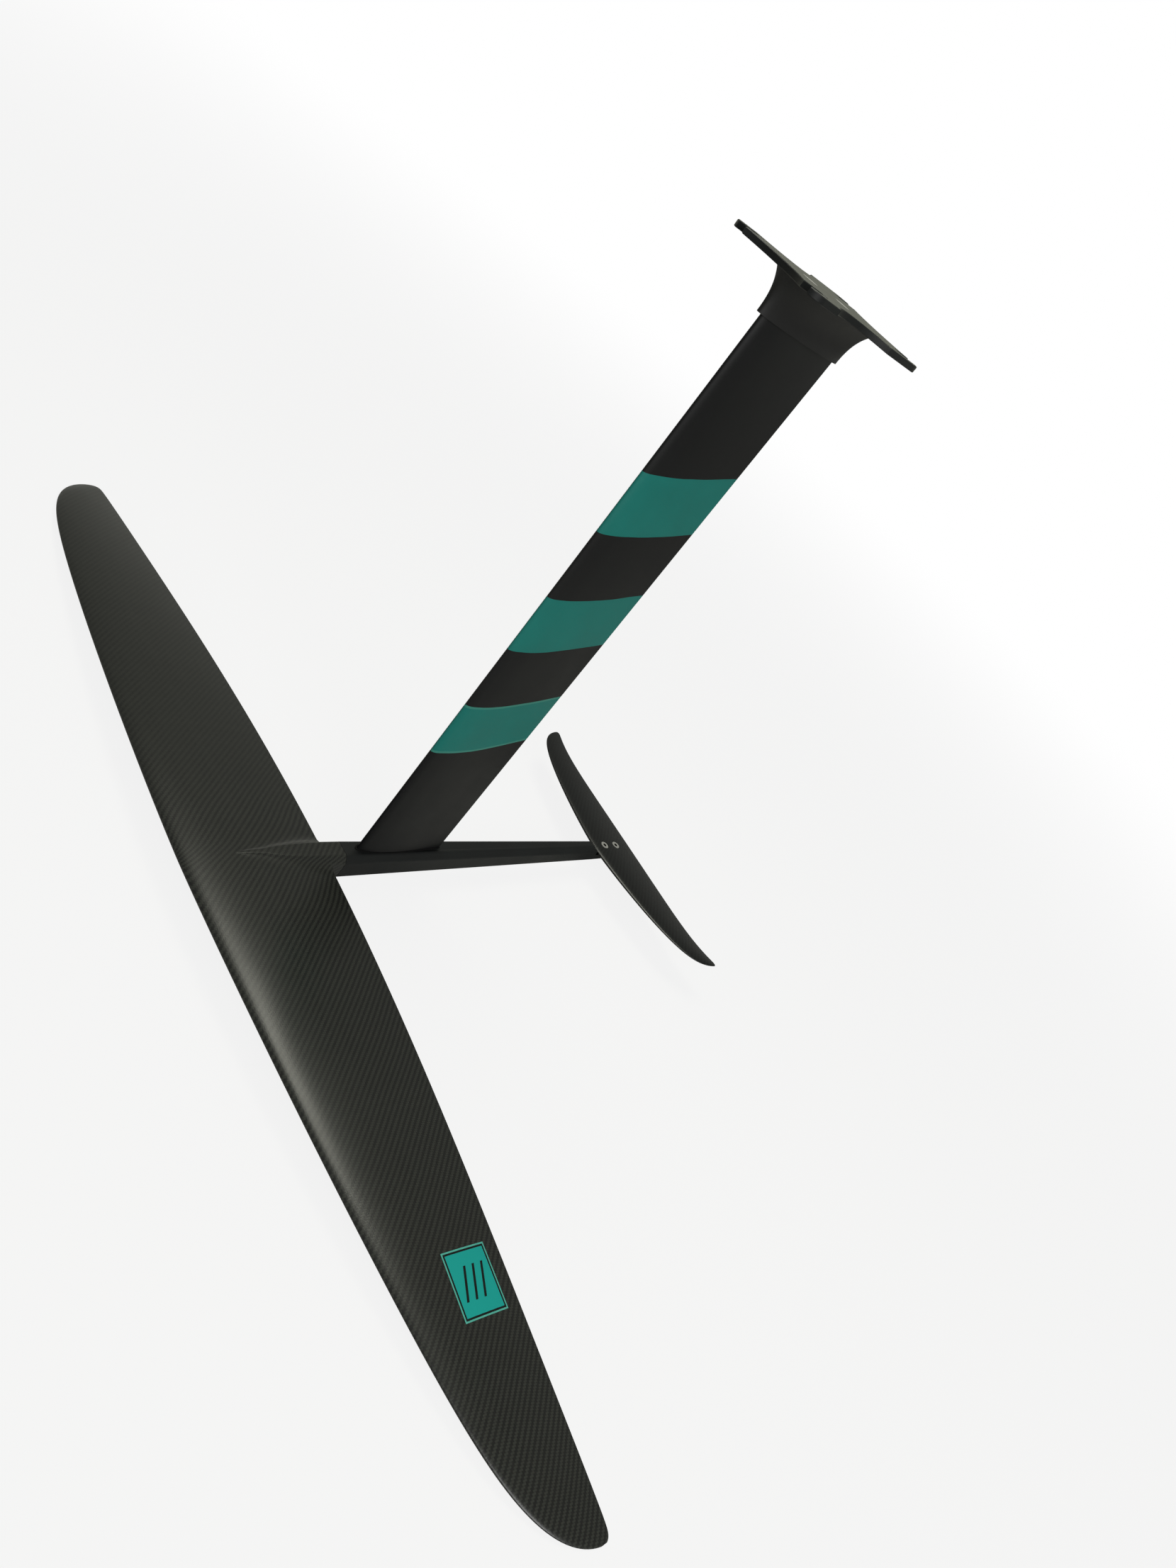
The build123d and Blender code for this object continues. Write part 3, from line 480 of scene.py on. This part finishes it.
def fillet_point(column, around):
    """A low ridge across the blade whose flanks curve up from the blade to the spine."""
    y = FILLETS[0][0] + (FILLETS[-1][0] - FILLETS[0][0]) * column / FILLET_COLUMNS
    reach = eased(FILLETS, y)[0]
    half_width, top = eased(SPINE, y)[:2]
    across, down = chamfer(half_width)
    leading, chord, depth = front_wing_chord(0)
    share = (y - leading) / chord
    base = -depth + half_thickness(share, chord * WING_RATIO, WING_EDGE)
    base += 4 * chord * WING_CAMBER * share * (1 - share) - FILLET_SINK

    def flank(height):
        return half_width - across * max(0.0, height + top + down) / down

    rise = min(reach, FILLET_RISE * (-top - base))
    toe, foot, crest = flank(base) + reach, flank(base), flank(base + rise) - FILLET_SINK
    spot = round(around * (2 * CURVE_STEPS + 1))
    if spot >= 2 * CURVE_STEPS:
        return (-toe, toe)[spot - 2 * CURVE_STEPS], y, FUSELAGE_TOP / MM + base - 2 * FILLET_SINK
    side, step = (1, spot) if spot < CURVE_STEPS else (-1, 2 * CURVE_STEPS - 1 - spot)
    t = step / (CURVE_STEPS - 1)
    x = toe * (1 - t) ** 2 + foot * 2 * t * (1 - t) + crest * t**2
    return side * x, y, FUSELAGE_TOP / MM + base + rise * t**2


fillet = finished_object("fillet", wrapped_grid(FILLET_COLUMNS, 2 * CURVE_STEPS + 2, fillet_point))
print("fillet faces", len(fillet.data.polygons))


# %% Join them
def combine(piece, other, operation):
    """Applies a Boolean with another object, which is used up."""
    joint = piece.modifiers.new("joint", "BOOLEAN")
    joint.object, joint.operation, joint.solver = other, operation, "EXACT"
    depsgraph = bpy.context.evaluated_depsgraph_get()
    result = bpy.data.meshes.new_from_object(piece.evaluated_get(depsgraph))
    piece.modifiers.clear()
    piece.data = result
    bpy.data.objects.remove(other)


WING_SCREWS = (-98, -124, -150)
SCREW_SINK = (6.1, 9.0, 31.5)       # radius, depth, and middle below the fuselage's top

combine(front_wing, fillet, "UNION")
combine(front_wing, spine, "UNION")
radius, depth, middle = SCREW_SINK
for y in WING_SCREWS:
    sink = bmesh.new()
    bmesh.ops.create_cone(sink, cap_ends=True, segments=48, radius1=radius * MM, radius2=radius * MM,
                          depth=depth * MM)
    bmesh.ops.translate(sink, verts=sink.verts, vec=(0, y * MM, FUSELAGE_TOP - middle * MM))
    combine(front_wing, finished_object("screw_sink", sink), "DIFFERENCE")


def shade(piece, degrees):
    """Smooth shading, sharp where faces meet at more than this angle, large faces leading."""
    piece.data.shade_smooth()
    piece.data.set_sharp_from_angle(angle=math.radians(degrees))
    even = piece.modifiers.new("even_normals", "WEIGHTED_NORMAL")
    even.keep_sharp = True
    even.weight = 50


shade(front_wing, 40)
front_wing.data.materials.clear()
front_wing.data.materials.append(wing_laminate)
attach(front_wing, "root")
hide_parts("front_wing_skin")
low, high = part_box("front_wing_skin")
reach = [max(v.co[k] for v in front_wing.data.vertices) - high[k] for k in range(3)]
print("front wing faces", len(front_wing.data.polygons))
print("past the CAD box", [round(r / MM, 2) for r in reach], "mm")

# %% [markdown]
# ## Badge
# A printed label lies on the right-hand half of the wing: a teal field inside a dark frame, with
# three plain bars. It could be part of the laminate's own colour. As a thin piece of its own, bent
# to the wing's surface, it can be left off or reprinted without touching the carbon.

# %% Label on the wing
LABEL_MIDDLE, LABEL_SIZE = Vector((474, -155.5)), Vector((61, 54))
LABEL_TURN = math.radians(-2.3)
LABEL_LIFT, LABEL_THICKNESS = 0.08, 0.15
SORT_ALONG = Vector((1.0, 0.013, 0.7))      # a direction along which no two faces are level

label = bmesh.new()
label.loops.layers.uv.new("label")
bmesh.ops.create_grid(label, x_segments=24, y_segments=24, size=0.5, calc_uvs=True)
for vertex in label.verts:
    spot = LABEL_MIDDLE + (vertex.co.xy * LABEL_SIZE) @ Matrix.Rotation(-LABEL_TURN, 2)
    leading, chord, depth = front_wing_chord(spot.x)
    share = (spot.y - leading) / chord
    around = math.acos(2 * share - 1) / (2 * math.pi)
    rise = foil_point(chord, WING_RATIO, WING_CAMBER, WING_EDGE, around)[1]
    vertex.co = Vector((spot.x, spot.y, FUSELAGE_TOP / MM - depth + rise + LABEL_LIFT)) * MM
bmesh.ops.recalc_face_normals(label, faces=label.faces)
if sum(face.normal.z for face in label.faces) < 0:
    bmesh.ops.reverse_faces(label, faces=label.faces)
bmesh.ops.solidify(label, geom=label.faces[:], thickness=LABEL_THICKNESS * MM)
# The rim's faces come in a chance order; sorted by place, they are in the same order each run.
label.faces.sort(key=lambda face: face.calc_center_median() @ SORT_ALONG)
badge = finished_object("wing_badge", label)
badge.data.shade_smooth()
badge.data.set_sharp_from_angle(angle=math.radians(40))
print("label", len(badge.data.polygons), "faces,", [round(v / MM, 1) for v in badge.dimensions], "mm")

# %% Label print
# Screen-printed vinyl: flat inks with a slight tooth, the dark ink a little glossier than the teal.
FRAME_INSET, FRAME_HALF_WIDTH, PALE_EDGE = 2.4, 0.9, 1.5
BAR_SLANT, BAR_PITCH, BAR_HALF_WIDTH = 0.35, 5.5, 1.5      # the pitch is half of one repeat
BAR_FIELD = (15.0, 16.0)                                   # half its width and its height

label_print, tree = new_material("screen_printed_vinyl")
place = add(tree, "UVMap", uv_map="label").outputs["UV"]
place = add(tree, "VectorMath", {0: place, 1: (*LABEL_SIZE, 0), 2: (*(-LABEL_SIZE / 2), 0)},
            operation="MULTIPLY_ADD").outputs["Vector"]
inset = add(tree, "VectorMath", {0: place}, operation="ABSOLUTE").outputs["Vector"]
inset = add(tree, "VectorMath", {0: (*(LABEL_SIZE / 2), 0), 1: inset},
            operation="SUBTRACT").outputs["Vector"]
inset = add(tree, "SeparateXYZ", {0: inset}).outputs
margin = add(tree, "Math", {0: inset["X"], 1: inset["Y"]}, operation="MINIMUM").outputs[0]
frame_line = add(tree, "Math", {0: margin, 1: FRAME_INSET, 2: FRAME_HALF_WIDTH},
                 operation="COMPARE").outputs[0]
edge_line = add(tree, "Math", {0: margin, 1: PALE_EDGE}, operation="LESS_THAN").outputs[0]
axes = add(tree, "SeparateXYZ", {0: place}).outputs
slanted = add(tree, "Math", {0: axes["X"], 1: BAR_SLANT, 2: axes["Y"]},
              operation="MULTIPLY_ADD").outputs[0]
bar = add(tree, "Math", {0: slanted, 1: BAR_PITCH}, operation="PINGPONG").outputs[0]
bar = add(tree, "Math", {0: bar, 1: BAR_HALF_WIDTH}, operation="LESS_THAN").outputs[0]
for distance, limit in zip((axes["X"], slanted), BAR_FIELD):
    distance = add(tree, "Math", {0: distance}, operation="ABSOLUTE").outputs[0]
    inside = add(tree, "Math", {0: distance, 1: limit}, operation="LESS_THAN").outputs[0]
    bar = add(tree, "Math", {0: bar, 1: inside}, operation="MULTIPLY").outputs[0]
dark = add(tree, "Math", {0: frame_line, 1: bar}, operation="MAXIMUM").outputs[0]
tooth = add(tree, "TexNoise", {"Vector": place, "Scale": 2.2, "Detail": 3.0}).outputs["Fac"]
teal = add(tree, "MixRGB", {"Fac": tooth, "Color1": linear("#16A59C"),
                            "Color2": linear("#1CB6AF")}).outputs["Color"]
teal = add(tree, "MixRGB", {"Fac": edge_line, "Color1": teal,
                            "Color2": linear("#5CBCAC")}).outputs["Color"]
ink = add(tree, "MixRGB", {"Fac": dark, "Color1": teal, "Color2": linear("#141A18")}).outputs["Color"]
gloss = add(tree, "MapRange", {"Value": dark, "To Min": 0.5, "To Max": 0.38}).outputs["Result"]
relief = add(tree, "Bump", {"Height": tooth, "Strength": 0.1, "Distance": 0.00003}).outputs["Normal"]
skin = add(tree, "BsdfPrincipled", {"Base Color": ink, "Roughness": gloss, "Normal": relief,
                                    "IOR": 1.5, "Specular IOR Level": 0.3})
add(tree, "OutputMaterial", {"Surface": skin.outputs["BSDF"]})
badge.data.materials.append(label_print)
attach(badge, "root")
print("label print nodes", len(tree.nodes))

# %% [markdown]
# ## Stabiliser
# The small rear wing is drawn like the front one: an even grid for the blade, a low pad under its
# middle that sits on the fuselage, and two stepped screw holes. Each head lies in a slightly wider
# step, so a thin dark ring shows round it.

# %% Stabiliser blade
STAB_HALF_SPAN = 224.6
STAB_RATIO, STAB_CAMBER, STAB_EDGE = 0.12, 0.012, 0.9
STAB_COLUMNS, STAB_RING = 2 * 44, 65


def stabiliser_chord(x):
    """Leading edge, chord length and chord height above the fuselage's top, in mm."""
    share = abs(x) / STAB_HALF_SPAN
    trailing = 445.9 - 19 * share**2 + 20.9 * share**6
    leading, chord = edges(80 - 47.1 * share**1.5, trailing, share, 22, 6, 80)
    return leading, chord, 10.6 * share**2 - 9


def stabiliser_point(column, around):
    x = LAST_COLUMN * STAB_HALF_SPAN * math.sin(math.pi / 2 * (2 * column / STAB_COLUMNS - 1))
    leading, chord, height = stabiliser_chord(x)
    aft, rise = foil_point(chord, STAB_RATIO, STAB_CAMBER, STAB_EDGE, around)
    return x, leading + aft, FUSELAGE_TOP / MM + height + rise


stabiliser = finished_object("stabiliser_shell",
                             wrapped_grid(STAB_COLUMNS, STAB_RING, stabiliser_point))
print("blade faces", len(stabiliser.data.polygons))

# %% Pad and screw holes
PAD_LOW, PAD_HIGH = Vector((-9.4, 376, -13.6)), Vector((9.4, 430, -9))   # below the fuselage's top
PAD_ROUNDING = 1.5
STAB_SCREWS = (386, 411.5)
# Upper radius, lower radius, and where the step starts and ends above the blade's top.
STEPS = ((6.9, 6.9, 4.0, -0.75), (6.1, 3.1, -0.7, -3.7), (3.1, 3.1, -3.6, -20.0))

pad = bmesh.new()
bmesh.ops.create_cube(pad, size=1.0)
bmesh.ops.scale(pad, vec=(PAD_HIGH - PAD_LOW) * MM, verts=pad.verts)
middle = (PAD_LOW + PAD_HIGH) / 2 * MM + Vector((0, 0, FUSELAGE_TOP))
bmesh.ops.translate(pad, vec=middle, verts=pad.verts)
upright = [edge for edge in pad.edges if abs(edge.verts[0].co.z - edge.verts[1].co.z) > MM]
bmesh.ops.bevel(pad, geom=upright, offset=PAD_ROUNDING * MM, segments=3, profile=0.5, affect="EDGES",
                material=-1)
combine(stabiliser, finished_object("pad", pad), "UNION")
leading, chord, height = stabiliser_chord(0)
for y in STAB_SCREWS:
    around = math.acos(2 * (y - leading) / chord - 1) / (2 * math.pi)
    top = foil_point(chord, STAB_RATIO, STAB_CAMBER, STAB_EDGE, around)[1]
    for upper, lower, start, end in STEPS:
        step = bmesh.new()
        bmesh.ops.create_cone(step, cap_ends=True, segments=48, radius1=lower * MM, radius2=upper * MM,
                              depth=(start - end) * MM)
        centre = (0, y * MM, FUSELAGE_TOP + (height + top + (start + end) / 2) * MM)
        bmesh.ops.translate(step, verts=step.verts, vec=centre)
        combine(stabiliser, finished_object("step", step), "DIFFERENCE")
shade(stabiliser, 40)
stabiliser.data.materials.clear()
stabiliser.data.materials.append(stabiliser_laminate)
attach(stabiliser, "root")
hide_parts("stabiliser_skin")
low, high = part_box("stabiliser_skin")
reach = [max(v.co[k] for v in stabiliser.data.vertices) - high[k] for k in range(3)]
print("stabiliser faces", len(stabiliser.data.polygons))
print("past the CAD box", [round(r / MM, 2) for r in reach], "mm")

# %% [markdown]
# ## Fuselage
# The CAD beam ends square, a hair ahead of the stabiliser. On the real one its top edge is filed down
# so that it runs out under the stabiliser's nose. A copy of the beam is cut with a slanted block for
# that; moving single vertices would also do, but would break as soon as the CAD changes.

# %% Slanted end of the beam
SLANT_FROM, SLANT_TO = Vector((0, 356.5, -0.4)), Vector((0, 366.5, -9.6))   # below the fuselage's top
CUTTER = Vector((40, 24, 12))       # the slanted block's width, length and height
MERGE_WITHIN = 0.002                # the CAD faces do not share their corners yet

slant = SLANT_TO - SLANT_FROM
tilt = Matrix.Rotation(math.atan2(slant.z, slant.y), 3, "X")
block = bmesh.new()
bmesh.ops.create_cube(block, size=1.0)
bmesh.ops.scale(block, vec=CUTTER * MM, verts=block.verts)
bmesh.ops.translate(block, vec=(0, 0, CUTTER.z / 2 * MM), verts=block.verts)
bmesh.ops.rotate(block, cent=(0, 0, 0), matrix=tilt, verts=block.verts)
middle = (SLANT_FROM + SLANT_TO) / 2 * MM + Vector((0, 0, FUSELAGE_TOP))
bmesh.ops.translate(block, vec=middle, verts=block.verts)
beam = bmesh.new()
beam.from_mesh(parts["fuselage_shell"].data)
bmesh.ops.remove_doubles(beam, verts=beam.verts, dist=MERGE_WITHIN * MM)
bmesh.ops.dissolve_limit(beam, angle_limit=math.radians(0.5), verts=beam.verts, edges=beam.edges)
fuselage = finished_object("fuselage_beam", beam)
combine(fuselage, finished_object("slanted_block", block), "DIFFERENCE")
shade(fuselage, 30)
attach(fuselage, "root")
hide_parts("fuselage_shell")
print("beam faces", len(fuselage.data.polygons))

# %% [markdown]
# ## Plate screws
# The CAD heads lie a third of a millimetre under the plate's top, where a low view can't reach
# them. The real ones are turned up until they are flush, and glint. A copy of them is raised by
# that much. The CAD depth could be changed instead, but the board rests on this face, so there it
# keeps its safe margin.

# %% Flush screw heads
HEAD_LIFT = 0.3

turned = bmesh.new()
turned.from_mesh(parts["base_plate_screws"].data)
bmesh.ops.remove_doubles(turned, verts=turned.verts, dist=MERGE_WITHIN * MM)
bmesh.ops.translate(turned, vec=(0, 0, HEAD_LIFT * MM), verts=turned.verts)
plate_screws = finished_object("plate_screws", turned)
shade(plate_screws, 30)
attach(plate_screws, "root")
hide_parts("base_plate_screws")
top = max(v.co.z for v in plate_screws.data.vertices)
print("screw faces", len(plate_screws.data.polygons), "top", round(top / MM, 2), "mm")

# %% [markdown]
# ## Lacquered mast with three bands
# The mast is carbon under black lacquer, with three teal bands masked off and sprayed on. The tape
# ran round the mast on a slant, so each band's edge is a straight cut through the column, a
# little unsteady, with a thin paler line along it. The bands could
# be separate shells on the mast. As colour worked out from height and slant they have no thickness
# to catch the light, as on the real one.

# %% Mast lacquer
BAND_SLANT = 0.232                   # rise of a band's edge per unit towards the tail
BANDS = ((0.1753, 0.2437), (0.3238, 0.3936), (0.4759, 0.5464))   # above the fuselage, at y = 0
BAND_LINE = 0.0008                   # the paler line along each edge
UNSTEADY = 0.003                     # how far an edge wanders up and down
MAST_SPAN = 0.75                     # the height the colour ramp covers
BLACK, TEAL, LINE = linear("#0D0E10"), linear("#148279"), linear("#3F9586")

mast_lacquer, tree = new_material("sprayed_lacquer_black_and_teal")
place = add(tree, "TexCoord").outputs["Object"]
axes = add(tree, "SeparateXYZ", {0: place}).outputs
unsteady = add(tree, "TexNoise", {"Vector": place, "Scale": 16.0, "Detail": 1.0}).outputs["Fac"]
rise = add(tree, "Math", {0: axes["Y"], 1: -BAND_SLANT, 2: axes["Z"]},
           operation="MULTIPLY_ADD").outputs[0]
rise = add(tree, "Math", {0: unsteady, 1: UNSTEADY, 2: rise}, operation="MULTIPLY_ADD").outputs[0]
ramp_start = FUSELAGE_TOP + UNSTEADY / 2
rise = add(tree, "MapRange", {"Value": rise, "From Min": ramp_start,
                              "From Max": ramp_start + MAST_SPAN}).outputs["Result"]
bands = add(tree, "ValToRGB", {"Fac": rise})
ramp = bands.color_ramp
ramp.interpolation = "CONSTANT"
ramp.elements.remove(ramp.elements[1])
ramp.elements[0].color = BLACK
for low, high in BANDS:
    for height, colour in ((low, LINE), (low + BAND_LINE, TEAL),
                           (high - BAND_LINE, LINE), (high, BLACK)):
        ramp.elements.new(height / MAST_SPAN).color = colour
cloud = add(tree, "TexNoise", {"Vector": place, "Scale": 22.0, "Detail": 5.0}).outputs["Fac"]
tint = add(tree, "MapRange", {"Value": cloud, "To Min": 0.86, "To Max": 1.14}).outputs["Result"]
colour = add(tree, "VectorMath", {0: bands.outputs["Color"], "Scale": tint},
             operation="SCALE").outputs["Vector"]
# Orange peel: spray lacquer dries in shallow ripples about 2 mm apart.
peel = add(tree, "TexNoise", {"Vector": place, "Scale": 480.0, "Detail": 1.0}).outputs["Fac"]
relief = add(tree, "Bump", {"Height": peel, "Strength": 0.25, "Distance": 0.00006}).outputs["Normal"]
gloss = add(tree, "MapRange", {"Value": cloud, "From Min": 0.3, "From Max": 0.7,
                               "To Min": 0.40, "To Max": 0.48}).outputs["Result"]
skin = add(tree, "BsdfPrincipled", {"Base Color": colour, "Roughness": gloss, "Normal": relief,
                                    "IOR": 1.5, "Specular IOR Level": 0.42})
add(tree, "OutputMaterial", {"Surface": skin.outputs["BSDF"]})
print("bands", len(BANDS), "stops", len(ramp.elements))

# %% [markdown]
# ## The other finishes
# The plate and the fuselage are alloy with a hard black coat on a blasted surface, which looks dull
# from above and pale at a low angle. The collar is moulded plastic, the gasket rubber, the screws
# turned stainless steel. The foam, the webs and the sleeves are hidden, but each has its own
# finish, so that the foil can be cut open or taken apart. Each could be one flat colour. A little
# cloudiness in the gloss and a grain of the right size cost few nodes and keep the metal from
# looking like plastic.

# %% Hard black coat
# The plate is blasted coarser than the fuselage: the dust-fine pits give it a pale khaki sheen
# where it is seen at a low angle.
SHEENS = {"hard_anodised_coarse_blasted_alloy": 0.4, "hard_anodised_fine_blasted_alloy": 0.0}

coats = {}
for name, sheen in SHEENS.items():
    coats[name], tree = new_material(name)
    place = add(tree, "TexCoord").outputs["Object"]
    cloud = add(tree, "TexNoise", {"Vector": place, "Scale": 18.0, "Detail": 5.0,
                                   "Roughness": 0.6}).outputs["Fac"]
    tone = add(tree, "MixRGB", {"Fac": cloud, "Color1": linear("#0F1112"),
                                "Color2": linear("#181C1C")}).outputs["Color"]
    gloss = add(tree, "MapRange", {"Value": cloud, "From Min": 0.3, "From Max": 0.7,
                                   "To Min": 0.44, "To Max": 0.54}).outputs["Result"]
    # Blasting grit leaves pits of about 0.1 mm; drawn at 0.5 mm so that they show.
    grit = add(tree, "TexNoise", {"Vector": place, "Scale": 1900.0, "Detail": 2.0}).outputs["Fac"]
    relief = add(tree, "Bump", {"Height": grit, "Strength": 0.3, "Distance": 0.00005}).outputs["Normal"]
    skin = add(tree, "BsdfPrincipled", {
        "Base Color": tone, "Roughness": gloss, "Normal": relief,
        "IOR": 1.5, "Specular IOR Level": 0.42,
        "Sheen Weight": sheen, "Sheen Roughness": 0.25, "Sheen Tint": linear("#E6E8D2")})
    add(tree, "OutputMaterial", {"Surface": skin.outputs["BSDF"]})
plate_coat, fuselage_coat = coats.values()
print("coats", list(coats))

# %% Moulded collar
collar_black, tree = new_material("glass_filled_nylon_moulded")
place = add(tree, "TexCoord").outputs["Object"]
cloud = add(tree, "TexNoise", {"Vector": place, "Scale": 30.0, "Detail": 4.0}).outputs["Fac"]
tone = add(tree, "MixRGB", {"Fac": cloud, "Color1": linear("#101011"),
                            "Color2": linear("#19191A")}).outputs["Color"]
gloss = add(tree, "MapRange", {"Value": cloud, "To Min": 0.42, "To Max": 0.58}).outputs["Result"]
leather = add(tree, "TexVoronoi", {"Vector": place, "Scale": 1400.0}).outputs["Distance"]
relief = add(tree, "Bump", {"Height": leather, "Strength": 0.2, "Distance": 0.00004}).outputs["Normal"]
skin = add(tree, "BsdfPrincipled", {"Base Color": tone, "Roughness": gloss, "Normal": relief,
                                    "IOR": 1.53, "Specular IOR Level": 0.5})
add(tree, "OutputMaterial", {"Surface": skin.outputs["BSDF"]})
print("collar", len(tree.nodes), "nodes")

# %% Rubber gasket
rubber, tree = new_material("moulded_nitrile_rubber")
place = add(tree, "TexCoord").outputs["Object"]
bloom = add(tree, "TexNoise", {"Vector": place, "Scale": 120.0, "Detail": 3.0}).outputs["Fac"]
tone = add(tree, "MixRGB", {"Fac": bloom, "Color1": linear("#080808"),
                            "Color2": linear("#121212")}).outputs["Color"]
skin = add(tree, "BsdfPrincipled", {"Base Color": tone, "Roughness": 0.8, "IOR": 1.52,
                                    "Specular IOR Level": 0.25})
add(tree, "OutputMaterial", {"Surface": skin.outputs["BSDF"]})
print("gasket", len(tree.nodes), "nodes")

# %% Stainless steel
# Turning leaves fine lines. The metal is mixed with some plain grey, because a head this small
# would otherwise mirror nothing but the dark part of the room.
steel, tree = new_material("stainless_steel_turned")
place = add(tree, "TexCoord").outputs["Object"]
lines = add(tree, "TexNoise", {"Vector": place, "Scale": 700.0, "Detail": 3.0}).outputs["Fac"]
tone = add(tree, "MixRGB", {"Fac": lines, "Color1": linear("#CDCDC8"),
                            "Color2": linear("#E2E2DD")}).outputs["Color"]
gloss = add(tree, "MapRange", {"Value": lines, "To Min": 0.22, "To Max": 0.42}).outputs["Result"]
relief = add(tree, "Bump", {"Height": lines, "Strength": 0.2, "Distance": 0.00003}).outputs["Normal"]
skin = add(tree, "BsdfPrincipled", {"Base Color": tone, "Roughness": gloss, "Normal": relief,
                                    "Metallic": 0.6})
add(tree, "OutputMaterial", {"Surface": skin.outputs["BSDF"]})
print("screws", len(tree.nodes), "nodes")

# %% Painted shade in the sockets
# The hexagon sockets' faces get a near-black steel as painted shade, so they read as dark holes in the
# bright heads.
socket_shade_steel, tree = new_material("stainless_steel_painted_socket_shade")
place = add(tree, "TexCoord").outputs["Object"]
socket_mottle = add(tree, "TexNoise", {"Vector": place, "Scale": 900.0, "Detail": 3.0}).outputs["Fac"]
tone = add(tree, "MixRGB", {"Fac": socket_mottle, "Color1": linear("#0B0B0A"),
                            "Color2": linear("#1A1A18")}).outputs["Color"]
gloss = add(tree, "MapRange", {"Value": socket_mottle, "To Min": 0.35, "To Max": 0.6}).outputs["Result"]
skin = add(tree, "BsdfPrincipled", {"Base Color": tone, "Roughness": gloss})
add(tree, "OutputMaterial", {"Surface": skin.outputs["BSDF"]})
print("sockets", len(tree.nodes), "nodes")

# %% Sleeves
sleeve_alloy, tree = new_material("drawn_aluminium")
place = add(tree, "TexCoord").outputs["Object"]
drawn = add(tree, "Mapping", {"Vector": place, "Scale": (1.0, 1.0, 0.1)}).outputs["Vector"]
lines = add(tree, "TexNoise", {"Vector": drawn, "Scale": 1600.0, "Detail": 2.0}).outputs["Fac"]
tone = add(tree, "MixRGB", {"Fac": lines, "Color1": linear("#B4B6B8"),
                            "Color2": linear("#CBCDCE")}).outputs["Color"]
gloss = add(tree, "MapRange", {"Value": lines, "To Min": 0.3, "To Max": 0.5}).outputs["Result"]
skin = add(tree, "BsdfPrincipled", {"Base Color": tone, "Roughness": gloss, "Metallic": 1.0})
add(tree, "OutputMaterial", {"Surface": skin.outputs["BSDF"]})
print("sleeves", len(tree.nodes), "nodes")

# %% Foam
foam, tree = new_material("closed_cell_pvc_foam")
place = add(tree, "TexCoord").outputs["Object"]
cells = add(tree, "TexVoronoi", {"Vector": place, "Scale": 1500.0}).outputs["Distance"]
tone = add(tree, "MixRGB", {"Fac": cells, "Color1": linear("#D8CFA6"),
                            "Color2": linear("#B5AA7C")}).outputs["Color"]
relief = add(tree, "Bump", {"Height": cells, "Strength": 0.6, "Distance": 0.0002}).outputs["Normal"]
skin = add(tree, "BsdfPrincipled", {"Base Color": tone, "Roughness": 0.9, "Normal": relief})
add(tree, "OutputMaterial", {"Surface": skin.outputs["BSDF"]})
print("foam", len(tree.nodes), "nodes")

# %% Solid laminate
plies, tree = new_material("pressed_carbon_laminate")
place = add(tree, "TexCoord").outputs["Object"]
layers = add(tree, "TexWave", {"Vector": place, "Scale": 500.0, "Distortion": 1.5},
             bands_direction="X").outputs["Fac"]
tone = add(tree, "MixRGB", {"Fac": layers, "Color1": linear("#141414"),
                            "Color2": linear("#262726")}).outputs["Color"]
skin = add(tree, "BsdfPrincipled", {"Base Color": tone, "Roughness": 0.6, "IOR": 1.5})
add(tree, "OutputMaterial", {"Surface": skin.outputs["BSDF"]})
print("webs and block", len(tree.nodes), "nodes")

# %% Hand out the finishes
FOOT_SCREWS = (-40, -4)
SOCKET_RADIUS = 2.9       # takes in the hexagon's corners

finishes = {
    wing_laminate: ["front_wing_skin"],
    stabiliser_laminate: ["stabiliser_skin"],
    mast_lacquer: ["mast_skin"],
    plate_coat: ["base_plate"],
    fuselage_coat: ["fuselage_shell"],
    collar_black: ["mast_collar"],
    rubber: ["mast_foot_gasket"],
    steel: ["base_plate_screws", "mast_foot_screws", "front_wing_screws", "stabiliser_screws"],
    sleeve_alloy: ["mast_foot_block", "mast_collar_inserts", "mast_foot_inserts", "front_wing_inserts",
                   "stabiliser_inserts"],
    foam: ["mast_core", "fuselage_core", "front_wing_core", "stabiliser_core"],
    plies: ["mast_webs", "mast_head_block"],
}
for finish, names in finishes.items():
    for name in names:
        parts[name].data.materials.clear()
        parts[name].data.materials.append(finish)
for piece, finish in ((fuselage, fuselage_coat), (plate_screws, steel)):
    piece.data.materials.clear()
    piece.data.materials.append(finish)
# Painted shade: the faces within the socket radius of each screw's axis get the dark socket steel.
sockets = {"stabiliser_screws": STAB_SCREWS, "front_wing_screws": WING_SCREWS,
           "mast_foot_screws": FOOT_SCREWS}
for name, places in sockets.items():
    mesh = parts[name].data
    mesh.materials.append(socket_shade_steel)
    for polygon in mesh.polygons:
        away = min(math.hypot(polygon.center.x, polygon.center.y - y * MM) for y in places)
        polygon.material_index = 1 if away < SOCKET_RADIUS * MM else 0
done = {name for names in finishes.values() for name in names}
print("finished", len(done), "of", len(parts), "left", sorted(set(parts) - done))
